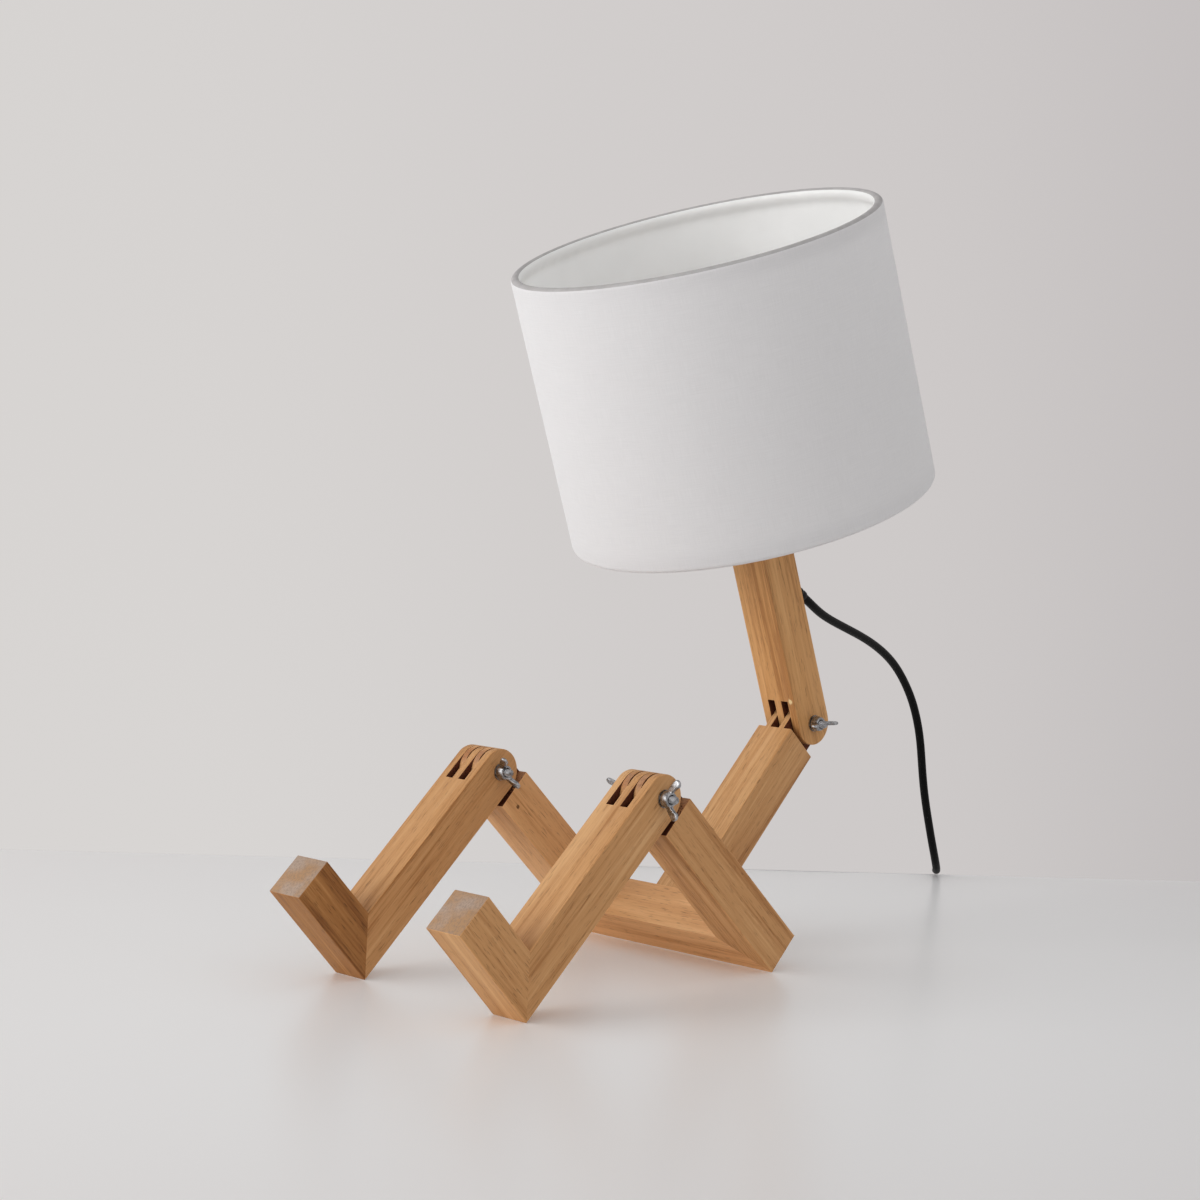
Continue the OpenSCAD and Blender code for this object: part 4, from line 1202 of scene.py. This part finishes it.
def plan(width, length, corner, height):
    """A rectangle with round corners, with extra points along its sides. height gives z at y."""
    points = []
    for a, (sx, sy) in enumerate(((1, 1), (-1, 1), (-1, -1), (1, -1))):
        cx, cy = sx * (width / 2 - corner), sy * (length / 2 - corner)
        points += [polar(corner, 90 * a + 15 * k, cx, cy) for k in range(7)]
        if a % 2:
            points += [(points[-1][0], cy * (1 - k / 6)) for k in range(1, 12)]
    return [(x, y, height(y)) for x, y in points]


def shell(rows, closed):
    """Outlines stacked into one shape."""
    stack = [plan(*size, height) for size, height in rows]
    return [p for row in stack for p in row], between(len(stack), len(stack[0]), closed)


def inset(by):
    """The size of the outline a little inside the switch's own."""
    return SWITCH_W - 2 * by, SWITCH_L - 2 * by, SWITCH_CORNER - by


def crown(below=0.0, least=7.0):
    """The arched top of the switch, or a line a little below it."""
    return lambda y: max(least, sqrt(CROWN_R ** 2 - min(abs(y), SWITCH_L / 2) ** 2)
                         - (CROWN_R - SWITCH_H) - below)


def level(z):
    """A line at one height."""
    return lambda y: z


WELL = (10, 17, 0.4)
upper = shell([(inset(0.3), level(7)), (inset(0), level(7.2)), (inset(0), crown(1.2, 7.25)),
               (inset(0.3), crown(0.45, 7.3)), (inset(0.9), crown(0.1, 7.35)), (inset(1.6), crown()),
               (inset(3.5), crown()), (inset(6), crown()), ((11, 31, 1), crown()),
               (WELL, crown(0.1)), (WELL, level(7))], True)
lower = shell([(inset(1.4), level(0.02)), (inset(0.4), level(0.3)), (inset(0), level(1.3)),
               (inset(0), level(6.8)), (inset(0.3), level(6.98)), (WELL, level(6.98)),
               (WELL, level(2.4))], False)
switch = [piece("switch_shell_" + n, s, switch_place, "hips", black, ["switch_" + n], 30)
          for n, s in (("upper", upper), ("lower", lower))]
print("points in the upper shell:", len(upper[0]))

# %% [markdown]
# The plug's body is moulded over its pins in one shot of soft plastic, with ribs to grip it by. Each
# pin has a sleeve at its root, so that no bare metal is live while it is being pushed in.

# %% Plug and sleeves
plug_place = store_place @ offset(PLUG_X, 108, SEAT) @ turned(90, "X")
GRIP, ROUND = 19.8, 40
plug_rows = [(1.3, 36), (0.4, 35.7), (0, 34.9), (0, 27), (0, GRIP)]
plug_rows += [(0.45 * (0.5 - 0.5 * cos(2 * pi * k / 6)), GRIP - 16.8 * k / 30)
              for k in range(1, 31)]
plug_rows += [(0, 1.2), (0.5, 0.2), (1.2, 0.02)]
body = []
for by, far in plug_rows:
    q = min(1, far / GRIP)
    wide, high = 16 + 11 * q - 2 * by, 12 + 2 * q - 2 * by
    for k in range(ROUND):
        a = 2 * pi * (k + 0.5) / ROUND
        middle = (wide - high) / 2 * (1 if cos(a) > 0 else -1)
        body.append((middle + high / 2 * cos(a), high / 2 * sin(a), far))
plug = piece("plug_moulding", (body, between(len(plug_rows), ROUND)), plug_place, "hips", black,
             ["plug_body"], 40)
pin = lathe([(1.5, 0), (2.06, 0), (2.06, 9.7), (1.96, 10), (1.5, 10)], 24, True)
sleeves = [moved(pin, offset(x, 0, 35.9)) for x in (-9.3, 9.3)]
pins = piece("plug_pin_sleeves", joined(*sleeves), plug_place, "hips", black)
print("points in the plug's body:", len(body))

# %% [markdown]
# The same ringed sleeve serves both ends of the switch and the plug, at the width of each body.

# %% Strain reliefs of the switch and plug
ends = [offset(0, side * SWITCH_L / 2, SEAT) @ turned(-90 * side, "X") for side in (1, -1)]
taper = lathe(sleeve_outline(20, 5.6, 2.9), 32, True)
reliefs = piece("switch_strain_reliefs", joined(*[moved(taper, e) for e in ends]), switch_place,
                "hips", black, ["switch_reliefs"], 50)
taper = lathe(sleeve_outline(20, 5, 2.9), 32, True)
relief = piece("plug_strain_relief", taper, plug_place @ turned(180, "X"), "hips", black,
               ["plug_relief"], 50)
print("sleeves on the switch:", len(ends))

# %% [markdown]
# The coil is held by a short strap of hook and loop, whose end laps over itself on the outside. It
# is pulled tight round all the turns.

# %% Tie of the coil
loops = (2400, 3, 0.7)
strap = mottled("tie_strap", (14, 14, 15), (34, 34, 36), loops, 0.92, (loops, 0.0003, 0.7),
                Specular_IOR_Level=0.15)
tie = []
for size, middle, at in (((11.2, 20.2, 2.6), 10.1, -4), ((11.2, 20.2, 2.6), 10.1, 4),
                         ((9.6, 18.9, 1.8), 9.9, 4), ((9.6, 18.9, 1.8), 9.9, -4)):
    a = pi / 2 + at / COIL_R
    for x, z, _ in plan(*size, level(0)):
        r = COIL_R + x + (0.8 if x > 5 and -7 < z < 5 else 0)
        tie.append((COIL_X + r * cos(a), COIL_Y + r * sin(a), middle + z))
tie = piece("coil_tie", (tie, between(4, len(tie) // 4, True)), store_place, "hips", strap)
print("the tie is", round((tie.bound_box[6][2] - tie.bound_box[0][2]) * 1000, 1), "mm high")

# %% [markdown]
# All the fittings on the lead are in place. The switch's rocker takes the black moulding, and the
# plug's pins take the bulb's nickel finish.

dress(black, "switch_rocker")
dress(nickel, "plug_pins")
print("plug and switch are", round((switch_place.translation - plug_place.translation).length, 3), "m apart")
